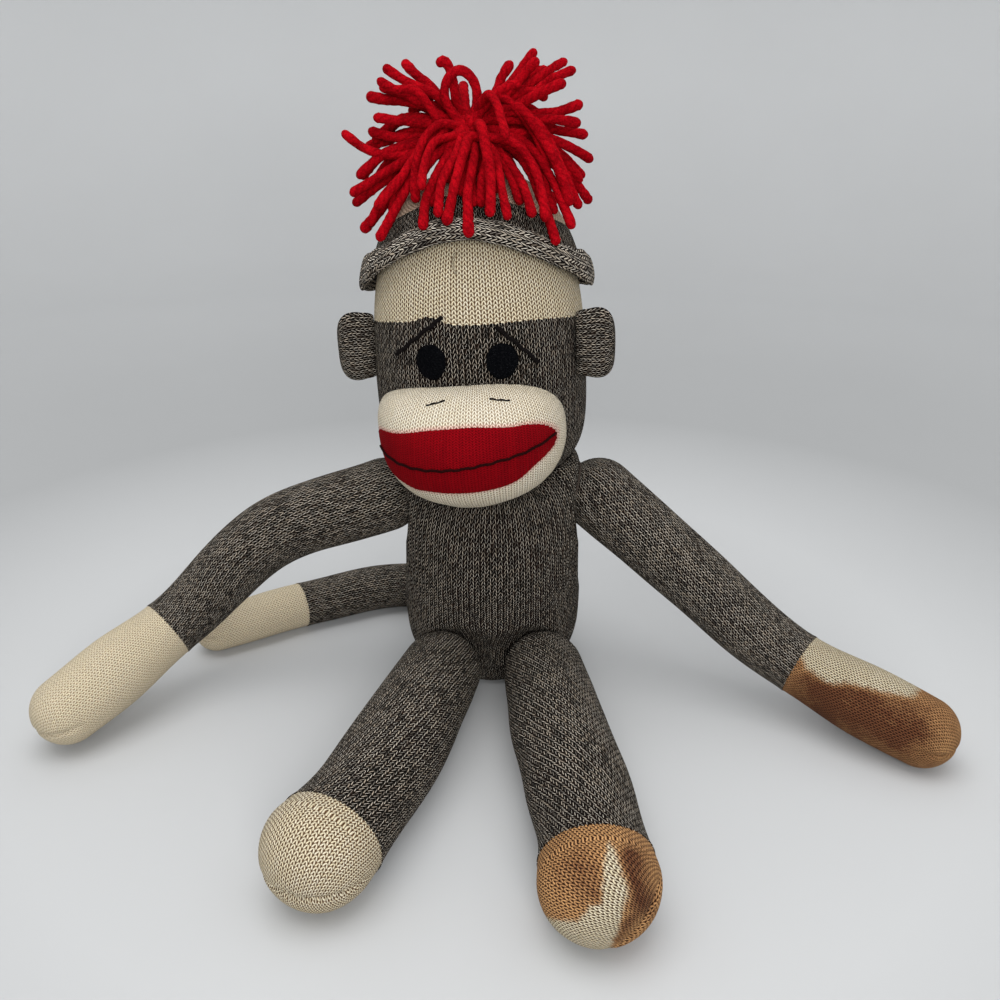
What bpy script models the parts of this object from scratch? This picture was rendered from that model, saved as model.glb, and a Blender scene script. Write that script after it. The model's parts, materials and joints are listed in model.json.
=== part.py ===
"""Sock monkey doll, seated with its hands on the floor. Metres, +Z up, the face looks along -Y.

The knitted skins are stuffed forms. Limbs and tail are sewn on at a ball-shaped root that sits in a
shallow seat in the torso, so each turns about the centre of its root. The origin is the middle of the
flat seat that the doll rests on. Its own left side is +X.
"""

import math

import bmesh
import bpy
from mathutils import Matrix, Vector

# Clearances
GAP = 0.0003
RUNNING_GAP = 0.0006
PAD_GAP = 0.0010
PATCH_GAP = 0.0008
SEWN_GAP = 0.0004
FLOOR_FLAT = 0.0005
CUTTER_REACH = 0.03

# Torso: a barrel form
TORSO_WIDTH = 0.094
TORSO_DEPTH = 0.082
TORSO_HEIGHT = 0.118
TORSO_MIDDLE_SHARE = 0.45
TORSO_POWER = 3.4

# Neck and head: the head's barrel form runs down into a dome that turns in the torso's top
NECK_RADIUS = 0.038
NECK_RISE = 0.020
NECK_OFFSET = -0.004
NECK_TILT = math.radians(32)
HEAD_WIDTH = 0.1035
HEAD_DEPTH = 0.096
HEAD_RISE = 0.094
HEAD_DROP = 0.050
HEAD_MIDDLE = 0.027
HEAD_POWER = 2.6
JAW_POWER = 3.6
FACE_SHARE = 0.7
HEAD_TURN = math.radians(-5)
HEAD_LEAN = math.radians(-2.5)
FOREHEAD_RISE = 0.0600
FOREHEAD_TILT = 0.0065
FOREHEAD_WAVE = 0.0010

# Muzzle, a stuffed pad on the face
MUZZLE_WIDTH = 0.0896
MUZZLE_SHIFT = -0.0023
MUZZLE_TILT = math.radians(4)
MUZZLE_TOP = 0.027
MUZZLE_BOTTOM = 0.035
MUZZLE_HEIGHT = 0.009
MUZZLE_BULGE = 0.034
MUZZLE_POWER = 2.3
MUZZLE_ROUND = 2.3
PATCH_TOP = 0.0105
PATCH_BOTTOM = 0.0170
PATCH_MIDDLE = 0.0052
PATCH_POWER = 2.3
PATCH_WIDTH_SHARE = 0.89
PATCH_THICKNESS = 0.0009
MOUTH_DIP = 0.0012
MOUTH_RISE = 0.0014
MOUTH_WIDTH_SHARE = 0.86
MOUTH_THREAD_THICKNESS = 0.0011

# Face: felt eyes and thread
EYE_WIDTH = 0.0142
EYE_HEIGHT = 0.0160
EYE_SPACING = 0.0322
EYE_RISE = 0.0463
EYE_THICKNESS = 0.0016
FELT_ROUND = 5.5
FACE_SHIFT = -0.0010
BROW_THREAD_THICKNESS = 0.0008
BROW_ARCH = 0.0014
LEFT_BROW = ((0.0133, 0.0614), (0.0306, 0.0440))
RIGHT_BROW = ((-0.0111, 0.0658), (-0.0343, 0.0478))
LEFT_NOSTRIL = ((0.0107, 0.0342), (0.0190, 0.0329))
RIGHT_NOSTRIL = ((-0.0094, 0.0336), (-0.0173, 0.0319))

# Ears, sewn to the sides of the head
EAR_REACH = 0.0125
EAR_SWELL = 0.006
EAR_THICKNESS = 0.0116
EAR_ROOT_HEIGHT = 0.0295
EAR_RISE = 0.0145
EAR_SETBACK = -0.016
EAR_ROUND_SHARE = 0.85

# Cap: rolled brim, marl band and cream crown
CAP_GAP = 0.0008
CAP_THICKNESS = 0.0022
BRIM_HEIGHT = 0.0535
BRIM_TILT = 0.0125
BRIM_ROLL_WIDTH = 0.0105
BRIM_DEPTH = 0.0065
BRIM_GAP = 0.0006
BAND_WIDTH = 0.0165

# Pompom of plied yarn
POMPOM_CORE_RADIUS = 0.0175
POMPOM_REACH = 0.063
YARN_THICKNESS = 0.0054
POMPOM_STRANDS = 60
POMPOM_DROOP_RADIUS = 0.118
POMPOM_LOWEST_SHARE = -0.42
POMPOM_TIP_SHARE = 0.8
POMPOM_UNEVEN_SHARE = 0.1
POMPOM_FLAT_SHARE = 0.4

# Arms: sleeve and hand in one length, from the middle of the root ball
ARM_LENGTH = 0.212
ARM_ROOT_RADIUS = 0.0192
HAND_SHARE = 0.635
ARM_GIRTH_SHARES = ((0, 1), (0.18, 0.96), (0.42, 0.9), (0.63, 0.82), (0.8, 0.93), (1, 0.86))
SHOULDER_DROP = 0.0170
SHOULDER_OFFSET = 0.0145
SHOULDER_SLOPE = math.radians(14)
SHOULDER_TILT = math.radians(52)
ARM_SPAN_SHARES = (0.3, 0.3, 0.4)

# Legs: leg and foot in one length, from the middle of the hip ball
LEFT_LEG_LENGTH = 0.172
RIGHT_LEG_LENGTH = 0.160
LEG_ROOT_RADIUS = 0.0205
FOOT_SHARE = 0.80
LEG_GIRTH_SHARES = ((0, 1), (0.25, 1.08), (0.5, 1.1), (0.7, 1.06), (0.87, 1.15), (1, 1.12))
HIP_SPACING = 0.053
HIP_OFFSET = 0.042
HIP_SLOPE = math.radians(24)
HIP_TILT = math.radians(66)
LEG_SPAN_SHARES = (0.34, 0.33, 0.33)

# Tail
TAIL_LENGTH = 0.186
TAIL_ROOT_RADIUS = 0.0140
TAIL_TIP_SHARE = 0.66
TAIL_GIRTH_SHARES = ((0, 1), (0.4, 0.95), (0.7, 0.92), (1, 0.86))
TAIL_OFFSET = 0.0095
TAIL_TILT = math.radians(55)
TAIL_SPAN_SHARES = (0.3, 0.3, 0.4)

# Seam threads
THREAD_THICKNESS = 0.0012
SHOULDER_THREAD_ANGLE = math.radians(44)
TAIL_THREAD_ANGLE = math.radians(36)
NECK_DOME = math.radians(68)
NECK_THREAD_ANGLE = math.radians(38)

# Resting pose: heading (from -Y towards +X) and drop below the horizontal, span by span
LEFT_ARM_POSE = ((66, 35), (60, 31), (52, 12))
RIGHT_ARM_POSE = ((-80, 17), (-70, 39), (-42, 19))
LEFT_LEG_HEADINGS = (5.5, 8, 2)
RIGHT_LEG_HEADINGS = (-13.5, -18, -23)
TAIL_HEADINGS = (-112, -70, -58)

# Facets
TORSO_SIDES = 28
TORSO_RINGS = 14
HEAD_SIDES = 36
NECK_RINGS = 7
FACE_RINGS = 8
CROWN_RINGS = 7
CAP_ROWS = 4
EAR_RINGS = 7
LINE_STEPS = 10
MOUTH_STEPS = 20
LIMB_SIDES = 16
LIMB_STEP = 0.013
DOME_RINGS = 4
PAD_SIDES = 28
PAD_BACK_SHARES = (0.25, 0.5, 0.75, 0.9)
MUZZLE_RINGS = 8
PATCH_RINGS = 5
EYE_RINGS = 2
EYE_SIDES = 16
BRIM_SIDES = 8
SEAT_SIDES = 24
SEAT_RINGS = 3
THREAD_SIDES = 4
STRAND_SIDES = 4
STRAND_STEPS = 4

MARL = ("marl knit", (0.10, 0.080, 0.066), 0.95)
CREAM = ("cream knit", (0.72, 0.66, 0.53), 0.95)
RED = ("red knit", (0.37, 0.010, 0.016), 0.95)
YARN = ("red yarn", (0.52, 0.006, 0.014), 0.9)
FELT = ("black felt", (0.012, 0.011, 0.012), 0.9)
DARK_THREAD = ("dark thread", (0.018, 0.014, 0.013), 0.8)
SEWING_THREAD = ("sewing thread", (0.045, 0.035, 0.03), 0.8)


def clear_scene():
    for thing in list(bpy.data.objects):
        bpy.data.objects.remove(thing, do_unlink=True)


def material(spec):
    name, colour, roughness = spec
    found = bpy.data.materials.get(name)
    if found:
        return found
    made = bpy.data.materials.new(name)
    made.use_nodes = True
    shader = made.node_tree.nodes["Principled BSDF"]
    shader.inputs["Base Color"].default_value = (*colour, 1)
    shader.inputs["Roughness"].default_value = roughness
    shader.inputs["Metallic"].default_value = 0
    made.diffuse_color = (*colour, 1)
    return made


def new_object(name, mesh_in_work, look=None, origin=Vector(), parent=None):
    """Turns a bmesh, whose points are measured from origin, into a placed, smooth-shaded object."""
    bmesh.ops.recalc_face_normals(mesh_in_work, faces=mesh_in_work.faces)
    mesh = bpy.data.meshes.new(name)
    mesh_in_work.to_mesh(mesh)
    mesh_in_work.free()
    made = bpy.data.objects.new(name, mesh)
    bpy.context.scene.collection.objects.link(made)
    made.location = origin
    made.parent = parent
    if look:
        mesh.materials.append(material(look))
        mesh.shade_smooth()
        mesh.set_sharp_from_angle(angle=math.radians(50))
    else:
        made.hide_render = True
        made.display_type = "WIRE"
    return made


def cut(target, cutter):
    modifier = target.modifiers.new(cutter.name, "BOOLEAN")
    modifier.operation = "DIFFERENCE"
    modifier.solver = "EXACT"
    modifier.object = cutter


def skin(rings, closed=False):
    """A mesh over rings of points. A ring of one point is a pole; an open end ring gets a flat face."""
    made = bmesh.new()
    rows = [[made.verts.new(point) for point in ring] for ring in rings]
    pairs = list(zip(rows, rows[1:]))
    if closed:
        pairs.append((rows[-1], rows[0]))
    for low, high in pairs:
        count = max(len(low), len(high))
        for i in range(count):
            j = (i + 1) % count
            if len(low) == 1:
                made.faces.new((low[0], high[j], high[i]))
            elif len(high) == 1:
                made.faces.new((low[i], low[j], high[0]))
            else:
                made.faces.new((low[i], low[j], high[j], high[i]))
    if not closed:
        for end in (rows[0], rows[-1]):
            if len(end) > 1:
                made.faces.new(end)
    return made


def turns(count):
    return [2 * math.pi * i / count for i in range(count)]


def signed_power(value, power):
    return math.copysign(abs(value) ** power, value)


def spline(points, steps):
    """A smooth curve through the points, with this many steps in each span."""
    ends = [points[0] * 2 - points[1], *points, points[-1] * 2 - points[-2]]
    found = []
    for a, b, c, d in zip(ends, ends[1:], ends[2:], ends[3:]):
        for i in range(steps):
            t = i / steps
            found.append(
                (b * 2 + (c - a) * t + (a * 2 - b * 5 + c * 4 - d) * t * t
                 + (b * 3 - a - c * 3 + d) * t * t * t) / 2
            )
    found.append(points[-1].copy())
    return found


class Route:
    """A smooth line that is read by distance."""

    def __init__(self, points):
        self.points = spline(points, 12)
        self.reach = [0.0]
        for a, b in zip(self.points, self.points[1:]):
            self.reach.append(self.reach[-1] + (b - a).length)
        self.length = self.reach[-1]

    def at(self, distance):
        for i in range(1, len(self.points)):
            if distance <= self.reach[i] or i == len(self.points) - 1:
                span = self.reach[i] - self.reach[i - 1]
                return self.points[i - 1].lerp(self.points[i], (distance - self.reach[i - 1]) / span)

    def heading(self, distance):
        step = self.length / 200
        return (self.at(min(distance + step, self.length)) - self.at(max(distance - step, 0))).normalized()


def through(table, share):
    """Reads a table of (share, value) rows along a smooth curve through them."""
    curve = spline([Vector(row) for row in table], 8)
    for a, b in zip(curve, curve[1:]):
        if share <= b[0]:
            return a[1] + (b[1] - a[1]) * (share - a[0]) / (b[0] - a[0])
    return curve[-1][1]


class Limb:
    """A stuffed length that starts as a ball about the first point of its route."""

    def __init__(self, route, root, girth_shares):
        self.route = route
        self.root = root
        self.girth_shares = girth_shares

    def girth(self, distance):
        return self.root * through(self.girth_shares, distance / self.route.length)

    def form(self, start, end):
        """The mesh from one distance to another. It is domed at either end of the whole limb."""
        whole = self.route.length
        tip = self.girth(whole)
        stops = []
        if start == 0:
            stops += [(-self.root * math.cos(a), self.root * math.sin(a)) for a in quarter()]
        last = whole - tip if end == whole else end
        count = math.ceil((last - start) / LIMB_STEP)
        for i in range(count + 1):
            distance = start + (last - start) * i / count
            stops.append((distance, self.girth(distance)))
        if end == whole:
            stops += [(last + tip * math.cos(a), self.girth(last) * math.sin(a)) for a in reversed(quarter())]
        return skin([self.ring(distance, radius) for distance, radius in stops])

    def ring(self, distance, radius):
        inside = min(max(distance, 0), self.route.length)
        along = self.route.heading(inside)
        centre = self.route.at(inside) + along * (distance - inside)
        if radius < GAP / 10:
            return [centre]
        across = along.cross(Vector((0, 0, 1))).normalized()
        up = across.cross(along)
        return [centre + (across * math.cos(a) + up * math.sin(a)) * radius for a in turns(LIMB_SIDES)]


def quarter():
    """Angles from the pole of a dome to the ring before its full width."""
    return [math.pi / 2 * i / DOME_RINGS for i in range(DOME_RINGS)]


class Barrel:
    """An upright stuffed form: elliptical rings whose size follows a superellipse above and below."""

    def __init__(self, width, depth, rise, drop, middle, power, low_power=None):
        self.width = width / 2
        self.depth = depth / 2
        self.rise = rise
        self.drop = drop
        self.middle = middle
        self.power = power
        self.low_power = low_power or power

    def grown(self, by):
        return Barrel(
            (self.width + by) * 2, (self.depth + by) * 2, self.rise + by, self.drop + by,
            self.middle, self.power, self.low_power,
        )

    def half(self, above):
        """The height and the superellipse power of the upper or lower half."""
        return (self.rise, self.power) if above else (self.drop, self.low_power)

    def share(self, z):
        """How wide the ring at this height is, as a share of the widest."""
        size, power = self.half(z > self.middle)
        off = min(abs(z - self.middle) / size, 1)
        return (1 - off**power) ** (1 / power)

    def height(self, level):
        """The height at a level from -pi/2, the bottom, to pi/2, the top."""
        size, power = self.half(level > 0)
        return self.middle + size * signed_power(math.sin(level), 2 / power)

    def level(self, z):
        size, power = self.half(z > self.middle)
        return math.asin(signed_power(max(min((z - self.middle) / size, 1), -1), power / 2))

    def at(self, turn, z):
        share = self.share(z)
        return Vector((self.width * share * math.cos(turn), self.depth * share * math.sin(turn), z))

    def front(self, x, z):
        """The y of the front at this x and z. Past the chin it goes on straight down."""
        share = max(self.share(z), FACE_SHARE)
        off = min(abs(x) / (self.width * share), 1)
        return -self.depth * share * math.sqrt(1 - off * off)


def lathe(profile, sides, axis, centre=Vector()):
    """Turns (radius, distance along axis) rows about an axis through centre."""
    spin = Vector((0, 0, 1)).rotation_difference(axis)
    rings = []
    for radius, along in profile:
        if radius < GAP / 10:
            rings.append([centre + spin @ Vector((0, 0, along))])
        else:
            rings.append([
                centre + spin @ Vector((radius * math.cos(a), radius * math.sin(a), along))
                for a in turns(sides)
            ])
    return skin(rings)


def ring_of_thread(name, radius, along, axis, origin, thickness=THREAD_THICKNESS):
    """A sewn thread that circles a root, at a distance along the axis from its centre."""
    spin = Vector((0, 0, 1)).rotation_difference(axis)
    rings = []
    for a in turns(SEAT_SIDES):
        out = Vector((math.cos(a), math.sin(a), 0))
        ring = []
        for b in turns(THREAD_SIDES):
            up = Vector((0, 0, along + thickness / 2 * math.sin(b)))
            ring.append(spin @ (out * (radius + thickness / 2 * math.cos(b)) + up))
        rings.append(ring)
    return new_object(name, skin(rings, closed=True), SEWING_THREAD, origin)


def seat_cutter(name, centre, axis, radius, tilt, sides):
    """Cuts the seat of a ball, opened to a cone so that what grows from the ball can tilt this far."""
    facet = math.cos(math.pi / sides)
    size = (radius + GAP) / facet**2
    profile = []
    for i in range(SEAT_RINGS + 1):
        a = (math.pi / 2 - tilt) * i / SEAT_RINGS
        profile.append((size * math.sin(a), -size * math.cos(a)))
    reach = CUTTER_REACH + radius
    last_radius, last_along = profile[-1]
    profile.append((last_radius + reach * math.sin(tilt), last_along + reach * math.cos(tilt)))
    profile.append((0, profile[-1][1]))
    return new_object(name, lathe(profile, sides, axis), origin=centre)


def groove_cutter(name, centre, axis, radius, angle):
    """Cuts the groove for a ring of thread round the ball's root."""
    ring_radius, along = thread_place(radius, angle)
    size = THREAD_THICKNESS + 2 * GAP + GAP
    made = ring_of_thread(name, ring_radius, along, axis, centre, size)
    made.data.materials.clear()
    made.hide_render = True
    made.display_type = "WIRE"
    return made


def thread_place(radius, angle):
    """A thread's ring radius and its place along the outward axis, on a ball of this radius."""
    out = radius + GAP + THREAD_THICKNESS / 2
    return out * math.sin(angle), -out * math.cos(angle)


def flat_on_floor(target):
    """Cuts away what lies under the floor and closes the flat face."""
    work = bmesh.new()
    work.from_mesh(target.data)
    floor = Vector((0, 0, -target.location.z))
    everything = work.verts[:] + work.edges[:] + work.faces[:]
    bmesh.ops.bisect_plane(
        work, geom=everything, plane_co=floor, plane_no=Vector((0, 0, -1)), clear_outer=True
    )
    rim = [edge for edge in work.edges if edge.is_boundary]
    bmesh.ops.holes_fill(work, edges=rim)
    bmesh.ops.recalc_face_normals(work, faces=work.faces)
    work.to_mesh(target.data)
    work.free()


def direction(heading, drop):
    """A unit vector from a heading, from -Y towards +X, and a drop below the horizontal, in degrees."""
    turn = math.radians(heading)
    down = math.radians(drop)
    return Vector((math.sin(turn) * math.cos(down), -math.cos(turn) * math.cos(down), -math.sin(down)))


# Torso

torso_form = Barrel(
    TORSO_WIDTH, TORSO_DEPTH, TORSO_HEIGHT * (1 - TORSO_MIDDLE_SHARE),
    TORSO_HEIGHT * TORSO_MIDDLE_SHARE + FLOOR_FLAT, TORSO_HEIGHT * TORSO_MIDDLE_SHARE, TORSO_POWER,
)


def barrel_rings(form, sides, ring_count):
    rings = []
    for i in range(ring_count + 1):
        z = form.height(math.pi * (i / ring_count - 1 / 2))
        ring = [form.at(turn, z) for turn in turns(sides)]
        rings.append([Vector((0, 0, z))] if i in (0, ring_count) else ring)
    return rings


def make_torso():
    torso = new_object("torso", skin(barrel_rings(torso_form, TORSO_SIDES, TORSO_RINGS)), MARL)
    flat_on_floor(torso)
    return torso


# Head, in its own frame about the neck's centre

head_form = Barrel(HEAD_WIDTH, HEAD_DEPTH, HEAD_RISE, HEAD_DROP, HEAD_MIDDLE, HEAD_POWER, JAW_POWER)


def neck_centre():
    return Vector((NECK_OFFSET, 0, TORSO_HEIGHT + NECK_RISE))


def forehead_height(turn):
    """The wavy line, raised over the face, where its marl meets the cream of the head's top."""
    return FOREHEAD_RISE - FOREHEAD_TILT * math.sin(turn) + FOREHEAD_WAVE * math.sin(5 * turn)


def head_ring(z_of):
    """The head's outline at heights that depend on the turn: the barrel, or the neck's dome where wider."""
    ring = []
    for turn in turns(HEAD_SIDES):
        z = z_of(turn)
        point = head_form.at(turn, z)
        dome = math.sqrt(max(NECK_RADIUS**2 - z * z, 0)) if z < 0 else 0
        if point.xy.length < dome:
            point = Vector((dome * math.cos(turn), dome * math.sin(turn), z))
        ring.append(point)
    return ring


def make_head(pivot):
    """The marl face below the forehead line, down to the dome of the neck, and the cream top above it."""
    rings = [[Vector((0, 0, -NECK_RADIUS))]]
    for i in range(1, NECK_RINGS + 1):
        start = -NECK_RADIUS * math.cos(NECK_DOME * i / NECK_RINGS)
        rings.append(head_ring(lambda turn, z=start: z))
    for i in range(1, FACE_RINGS + 1):
        share = i / FACE_RINGS
        rings.append(head_ring(lambda turn, s=share: start + (forehead_height(turn) - start) * s))
    rings.append([Vector((0, 0, FOREHEAD_RISE))])
    new_object("head_face", skin(rings), MARL, parent=pivot)
    top = head_form.level(FOREHEAD_RISE + GAP)
    rings = [[Vector((0, 0, FOREHEAD_RISE + GAP))]]
    for i in range(CROWN_RINGS):
        z = head_form.height(top + (math.pi / 2 - top) * i / CROWN_RINGS)
        wave = 1 - i / CROWN_RINGS
        rings.append(head_ring(
            lambda turn, z=z, wave=wave: z + (forehead_height(turn) - FOREHEAD_RISE) * wave
        ))
    rings.append([Vector((0, 0, HEAD_MIDDLE + HEAD_RISE))])
    new_object("head_top", skin(rings), CREAM, parent=pivot)


def face_front(x, z, out):
    """The y of a skin that lies this far out of the face."""
    return head_form.grown(out).front(x, z)


def face_ahead(x, z, out):
    """The y of what stands this far ahead of the face."""
    return head_form.grown(PAD_GAP).front(x, z) - out


def muzzle_front(x, z, out):
    """The y of a skin that lies this far out of the muzzle."""
    across, up = Matrix.Rotation(-MUZZLE_TILT, 2) @ Vector((x - MUZZLE_SHIFT, z - MUZZLE_HEIGHT))
    height = (MUZZLE_TOP if up > 0 else MUZZLE_BOTTOM) + out
    width = MUZZLE_WIDTH / 2 + out
    off = abs(across / width) ** MUZZLE_POWER + abs(up / height) ** MUZZLE_POWER
    share = min(off ** (1 / MUZZLE_POWER), 1)
    return face_ahead(x, z, 0) - (MUZZLE_BULGE + out) * rounded(share, MUZZLE_ROUND)


def on_face(x, z, out):
    """The y of felt or thread laid on the face."""
    return face_front(x, z, SEWN_GAP + out)


def on_muzzle(x, z, out):
    """The y of the patch laid on the muzzle."""
    return muzzle_front(x, z, PATCH_GAP + out)


def on_patch(x, z, out):
    """The y of thread laid on the mouth patch."""
    return on_muzzle(x, z, PATCH_THICKNESS + SEWN_GAP + out)


def on_nose(x, z, out):
    """The y of thread laid on the muzzle."""
    return muzzle_front(x, z, SEWN_GAP + out)


def from_muzzle(spots):
    """Turns (across, up) spots, measured from the muzzle's middle along its tilt, into the face's (x, z)."""
    turned = []
    for spot in spots:
        x, z = Matrix.Rotation(MUZZLE_TILT, 2) @ Vector(spot)
        turned.append((x + MUZZLE_SHIFT, z + MUZZLE_HEIGHT))
    return turned


def rounded(share, power):
    """How high a pad stands at a share of the way to its rim."""
    return math.sqrt(1 - share * share) ** (2 / power)


def pad(name, middle, outline, under, bulge, rounding, look, pivot, ring_count):
    """A pad on a surface: its back lies on under(x, z, 0 out) and its face stands up to bulge out of it."""
    middle = Vector(middle)
    face, back = [], []
    for i in range(1, ring_count + 1):
        share = math.sin(math.pi / 2 * i / ring_count)
        out = bulge * rounded(share, rounding)
        spots = [middle.lerp(Vector(point), share) for point in outline]
        face.append([Vector((x, under(x, z, out), z)) for x, z in spots])
    for share in PAD_BACK_SHARES:
        spots = [middle.lerp(Vector(point), share) for point in outline]
        back.append([Vector((x, under(x, z, 0), z)) for x, z in spots])
    x, z = middle
    tips = [[Vector((x, under(x, z, out), z))] for out in (bulge, 0)]
    return new_object(name, skin([tips[0], *face, *reversed(back), tips[1]]), look, parent=pivot)


def oval(half_width, up, down, middle=0.0, power=2.0, sides=PAD_SIDES):
    points = []
    for a in turns(sides):
        height = up if math.sin(a) > 0 else down
        across = half_width * signed_power(math.cos(a), 2 / power)
        points.append((across, middle + height * signed_power(math.sin(a), 2 / power)))
    return points


def arc(start, end, rise, steps):
    """Spots from start to end that rise in the middle."""
    spots = []
    for i in range(steps + 1):
        share = i / steps
        x, z = Vector(start).lerp(Vector(end), share)
        spots.append((x, z + rise * math.sin(math.pi * share)))
    return spots


def make_muzzle(pivot):
    outline = from_muzzle(oval(MUZZLE_WIDTH / 2, MUZZLE_TOP, MUZZLE_BOTTOM, power=MUZZLE_POWER))
    middle = from_muzzle([(0, 0)])[0]
    pad("muzzle", middle, outline, face_ahead, MUZZLE_BULGE, MUZZLE_ROUND, CREAM, pivot, MUZZLE_RINGS)
    width = MUZZLE_WIDTH / 2 * PATCH_WIDTH_SHARE
    outline = from_muzzle(oval(width, PATCH_TOP, PATCH_BOTTOM, PATCH_MIDDLE, PATCH_POWER))
    middle = from_muzzle([(0, PATCH_MIDDLE)])[0]
    pad("mouth_patch", middle, outline, on_muzzle, PATCH_THICKNESS, FELT_ROUND, RED, pivot, PATCH_RINGS)
    reach = MUZZLE_WIDTH / 2 * MOUTH_WIDTH_SHARE
    line = from_muzzle(arc((-reach, MOUTH_RISE), (reach, MOUTH_RISE), -MOUTH_DIP, MOUTH_STEPS))
    sewn_line("mouth_line", line, on_patch, MOUTH_THREAD_THICKNESS, pivot)


def sewn_line(name, spots, under, thickness, pivot):
    """A thread laid along (x, z) spots of a surface."""
    points = []
    for x, z in spots:
        points.append(Vector((x, under(x, z, thickness / 2), z)))
    ahead = Vector((0, -1, 0))
    rings = []
    for i, point in enumerate(points):
        along = (points[min(i + 1, len(points) - 1)] - points[max(i - 1, 0)]).normalized()
        across = along.cross(ahead).normalized()
        up = across.cross(along)
        rings.append([
            point + (across * math.cos(a) + up * math.sin(a)) * thickness / 2 for a in turns(THREAD_SIDES)
        ])
    return new_object(name, skin(rings), DARK_THREAD, parent=pivot)


def make_face(pivot):
    for side, name, brow, nostril in (
        (1, "left", LEFT_BROW, LEFT_NOSTRIL),
        (-1, "right", RIGHT_BROW, RIGHT_NOSTRIL),
    ):
        middle = Vector((FACE_SHIFT + side * EYE_SPACING / 2, EYE_RISE))
        round_felt = oval(EYE_WIDTH / 2, EYE_HEIGHT / 2, EYE_HEIGHT / 2, sides=EYE_SIDES)
        eye = [middle + Vector(spot) for spot in round_felt]
        pad(f"eye_{name}", middle, eye, on_face, EYE_THICKNESS, FELT_ROUND, FELT, pivot, EYE_RINGS)
        sewn_line(f"eyebrow_{name}", arc(*brow, BROW_ARCH, LINE_STEPS), on_face, BROW_THREAD_THICKNESS, pivot)
        sewn_line(f"nostril_{name}", arc(*nostril, 0, LINE_STEPS), on_nose, MOUTH_THREAD_THICKNESS, pivot)


def make_ears(pivot):
    """Half-round stuffed ears, drawn in at a root whose rounded edge lies on the hinge line by the head."""
    z = HEAD_MIDDLE + EAR_RISE
    root = EAR_THICKNESS / 2
    width = head_form.width * head_form.share(z)
    depth = head_form.depth * head_form.share(z)
    back_share = EAR_SETBACK / depth
    head_x = width * math.sqrt(1 - back_share**2)
    slant = math.hypot(1, width * back_share / depth / math.sqrt(1 - back_share**2))
    for side, name in ((1, "left"), (-1, "right")):
        rings = [[Vector((-side * root, 0, 0))]]
        for a in quarter()[1:]:
            tall = EAR_ROOT_HEIGHT / 2 * (EAR_ROUND_SHARE + (1 - EAR_ROUND_SHARE) * math.sin(a))
            rings.append(ear_ring(-side * root * math.cos(a), tall, root * math.sin(a)))
        for i in range(EAR_RINGS):
            a = math.pi / 2 * i / EAR_RINGS
            tall = (EAR_ROOT_HEIGHT * math.sqrt(math.cos(a)) + EAR_SWELL * math.sin(2 * a)) / 2
            rings.append(ear_ring(side * EAR_REACH * math.sin(a), tall, root * math.sqrt(math.cos(a))))
        rings.append([Vector((side * EAR_REACH, 0, 0))])
        origin = Vector((side * (head_x + (RUNNING_GAP + root) * slant), EAR_SETBACK, z))
        new_object(f"ear_{name}", skin(rings), MARL, origin, pivot)


def ear_ring(x, half_height, half_thickness):
    ring = []
    for a in turns(LIMB_SIDES):
        ring.append(Vector((x, half_thickness * math.cos(a), half_height * math.sin(a))))
    return ring


# Cap

def brim_height(turn):
    """The height of the brim's middle line, raised over the face."""
    return HEAD_MIDDLE + BRIM_HEIGHT - BRIM_TILT * math.sin(turn)


def cap_ring(level_of, out):
    form = head_form.grown(out)
    return [form.at(turn, form.height(level_of(turn))) for turn in turns(HEAD_SIDES)]


def make_cap(pivot):
    inner = CAP_GAP
    outer = CAP_GAP + CAP_THICKNESS
    low = [head_form.level(brim_height(turn)) for turn in turns(HEAD_SIDES)]
    seam = [head_form.level(brim_height(turn) + BAND_WIDTH) for turn in turns(HEAD_SIDES)]
    by_turn = {turn: i for i, turn in enumerate(turns(HEAD_SIDES))}

    def band(share):
        return lambda turn: low[by_turn[turn]] + (seam[by_turn[turn]] - low[by_turn[turn]]) * share

    def crown(share):
        start = GAP / HEAD_RISE
        return lambda turn: (seam[by_turn[turn]] + start) * (1 - share) + math.pi / 2 * share

    rings = [cap_ring(band(i / CAP_ROWS), outer) for i in range(CAP_ROWS + 1)]
    rings += [cap_ring(band(i / CAP_ROWS), inner) for i in reversed(range(CAP_ROWS + 1))]
    new_object("cap_band", skin(rings, closed=True), MARL, parent=pivot)

    rings = [[Vector((0, 0, HEAD_MIDDLE + HEAD_RISE + inner))]]
    rings += [cap_ring(crown(i / CROWN_RINGS), inner) for i in reversed(range(CROWN_RINGS))]
    rings += [cap_ring(crown(i / CROWN_RINGS), outer) for i in range(CROWN_RINGS)]
    rings.append([Vector((0, 0, HEAD_MIDDLE + HEAD_RISE + outer))])
    new_object("cap_crown", skin(rings), CREAM, parent=pivot)

    form = head_form.grown(outer)
    rings = []
    for turn in turns(HEAD_SIDES):
        z = brim_height(turn)
        spot = form.at(turn, z)
        up = (form.at(turn, z + BRIM_ROLL_WIDTH / 2) - form.at(turn, z - BRIM_ROLL_WIDTH / 2)).normalized()
        around = Vector((-math.sin(turn), math.cos(turn), 0))
        out = around.cross(up)
        centre = spot + out * (BRIM_GAP + BRIM_DEPTH / 2)
        rings.append([
            centre + out * BRIM_DEPTH / 2 * math.cos(a) + up * BRIM_ROLL_WIDTH / 2 * math.sin(a)
            for a in turns(BRIM_SIDES)
        ])
    new_object("cap_brim", skin(rings, closed=True), MARL, parent=pivot)


# Pompom

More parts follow.
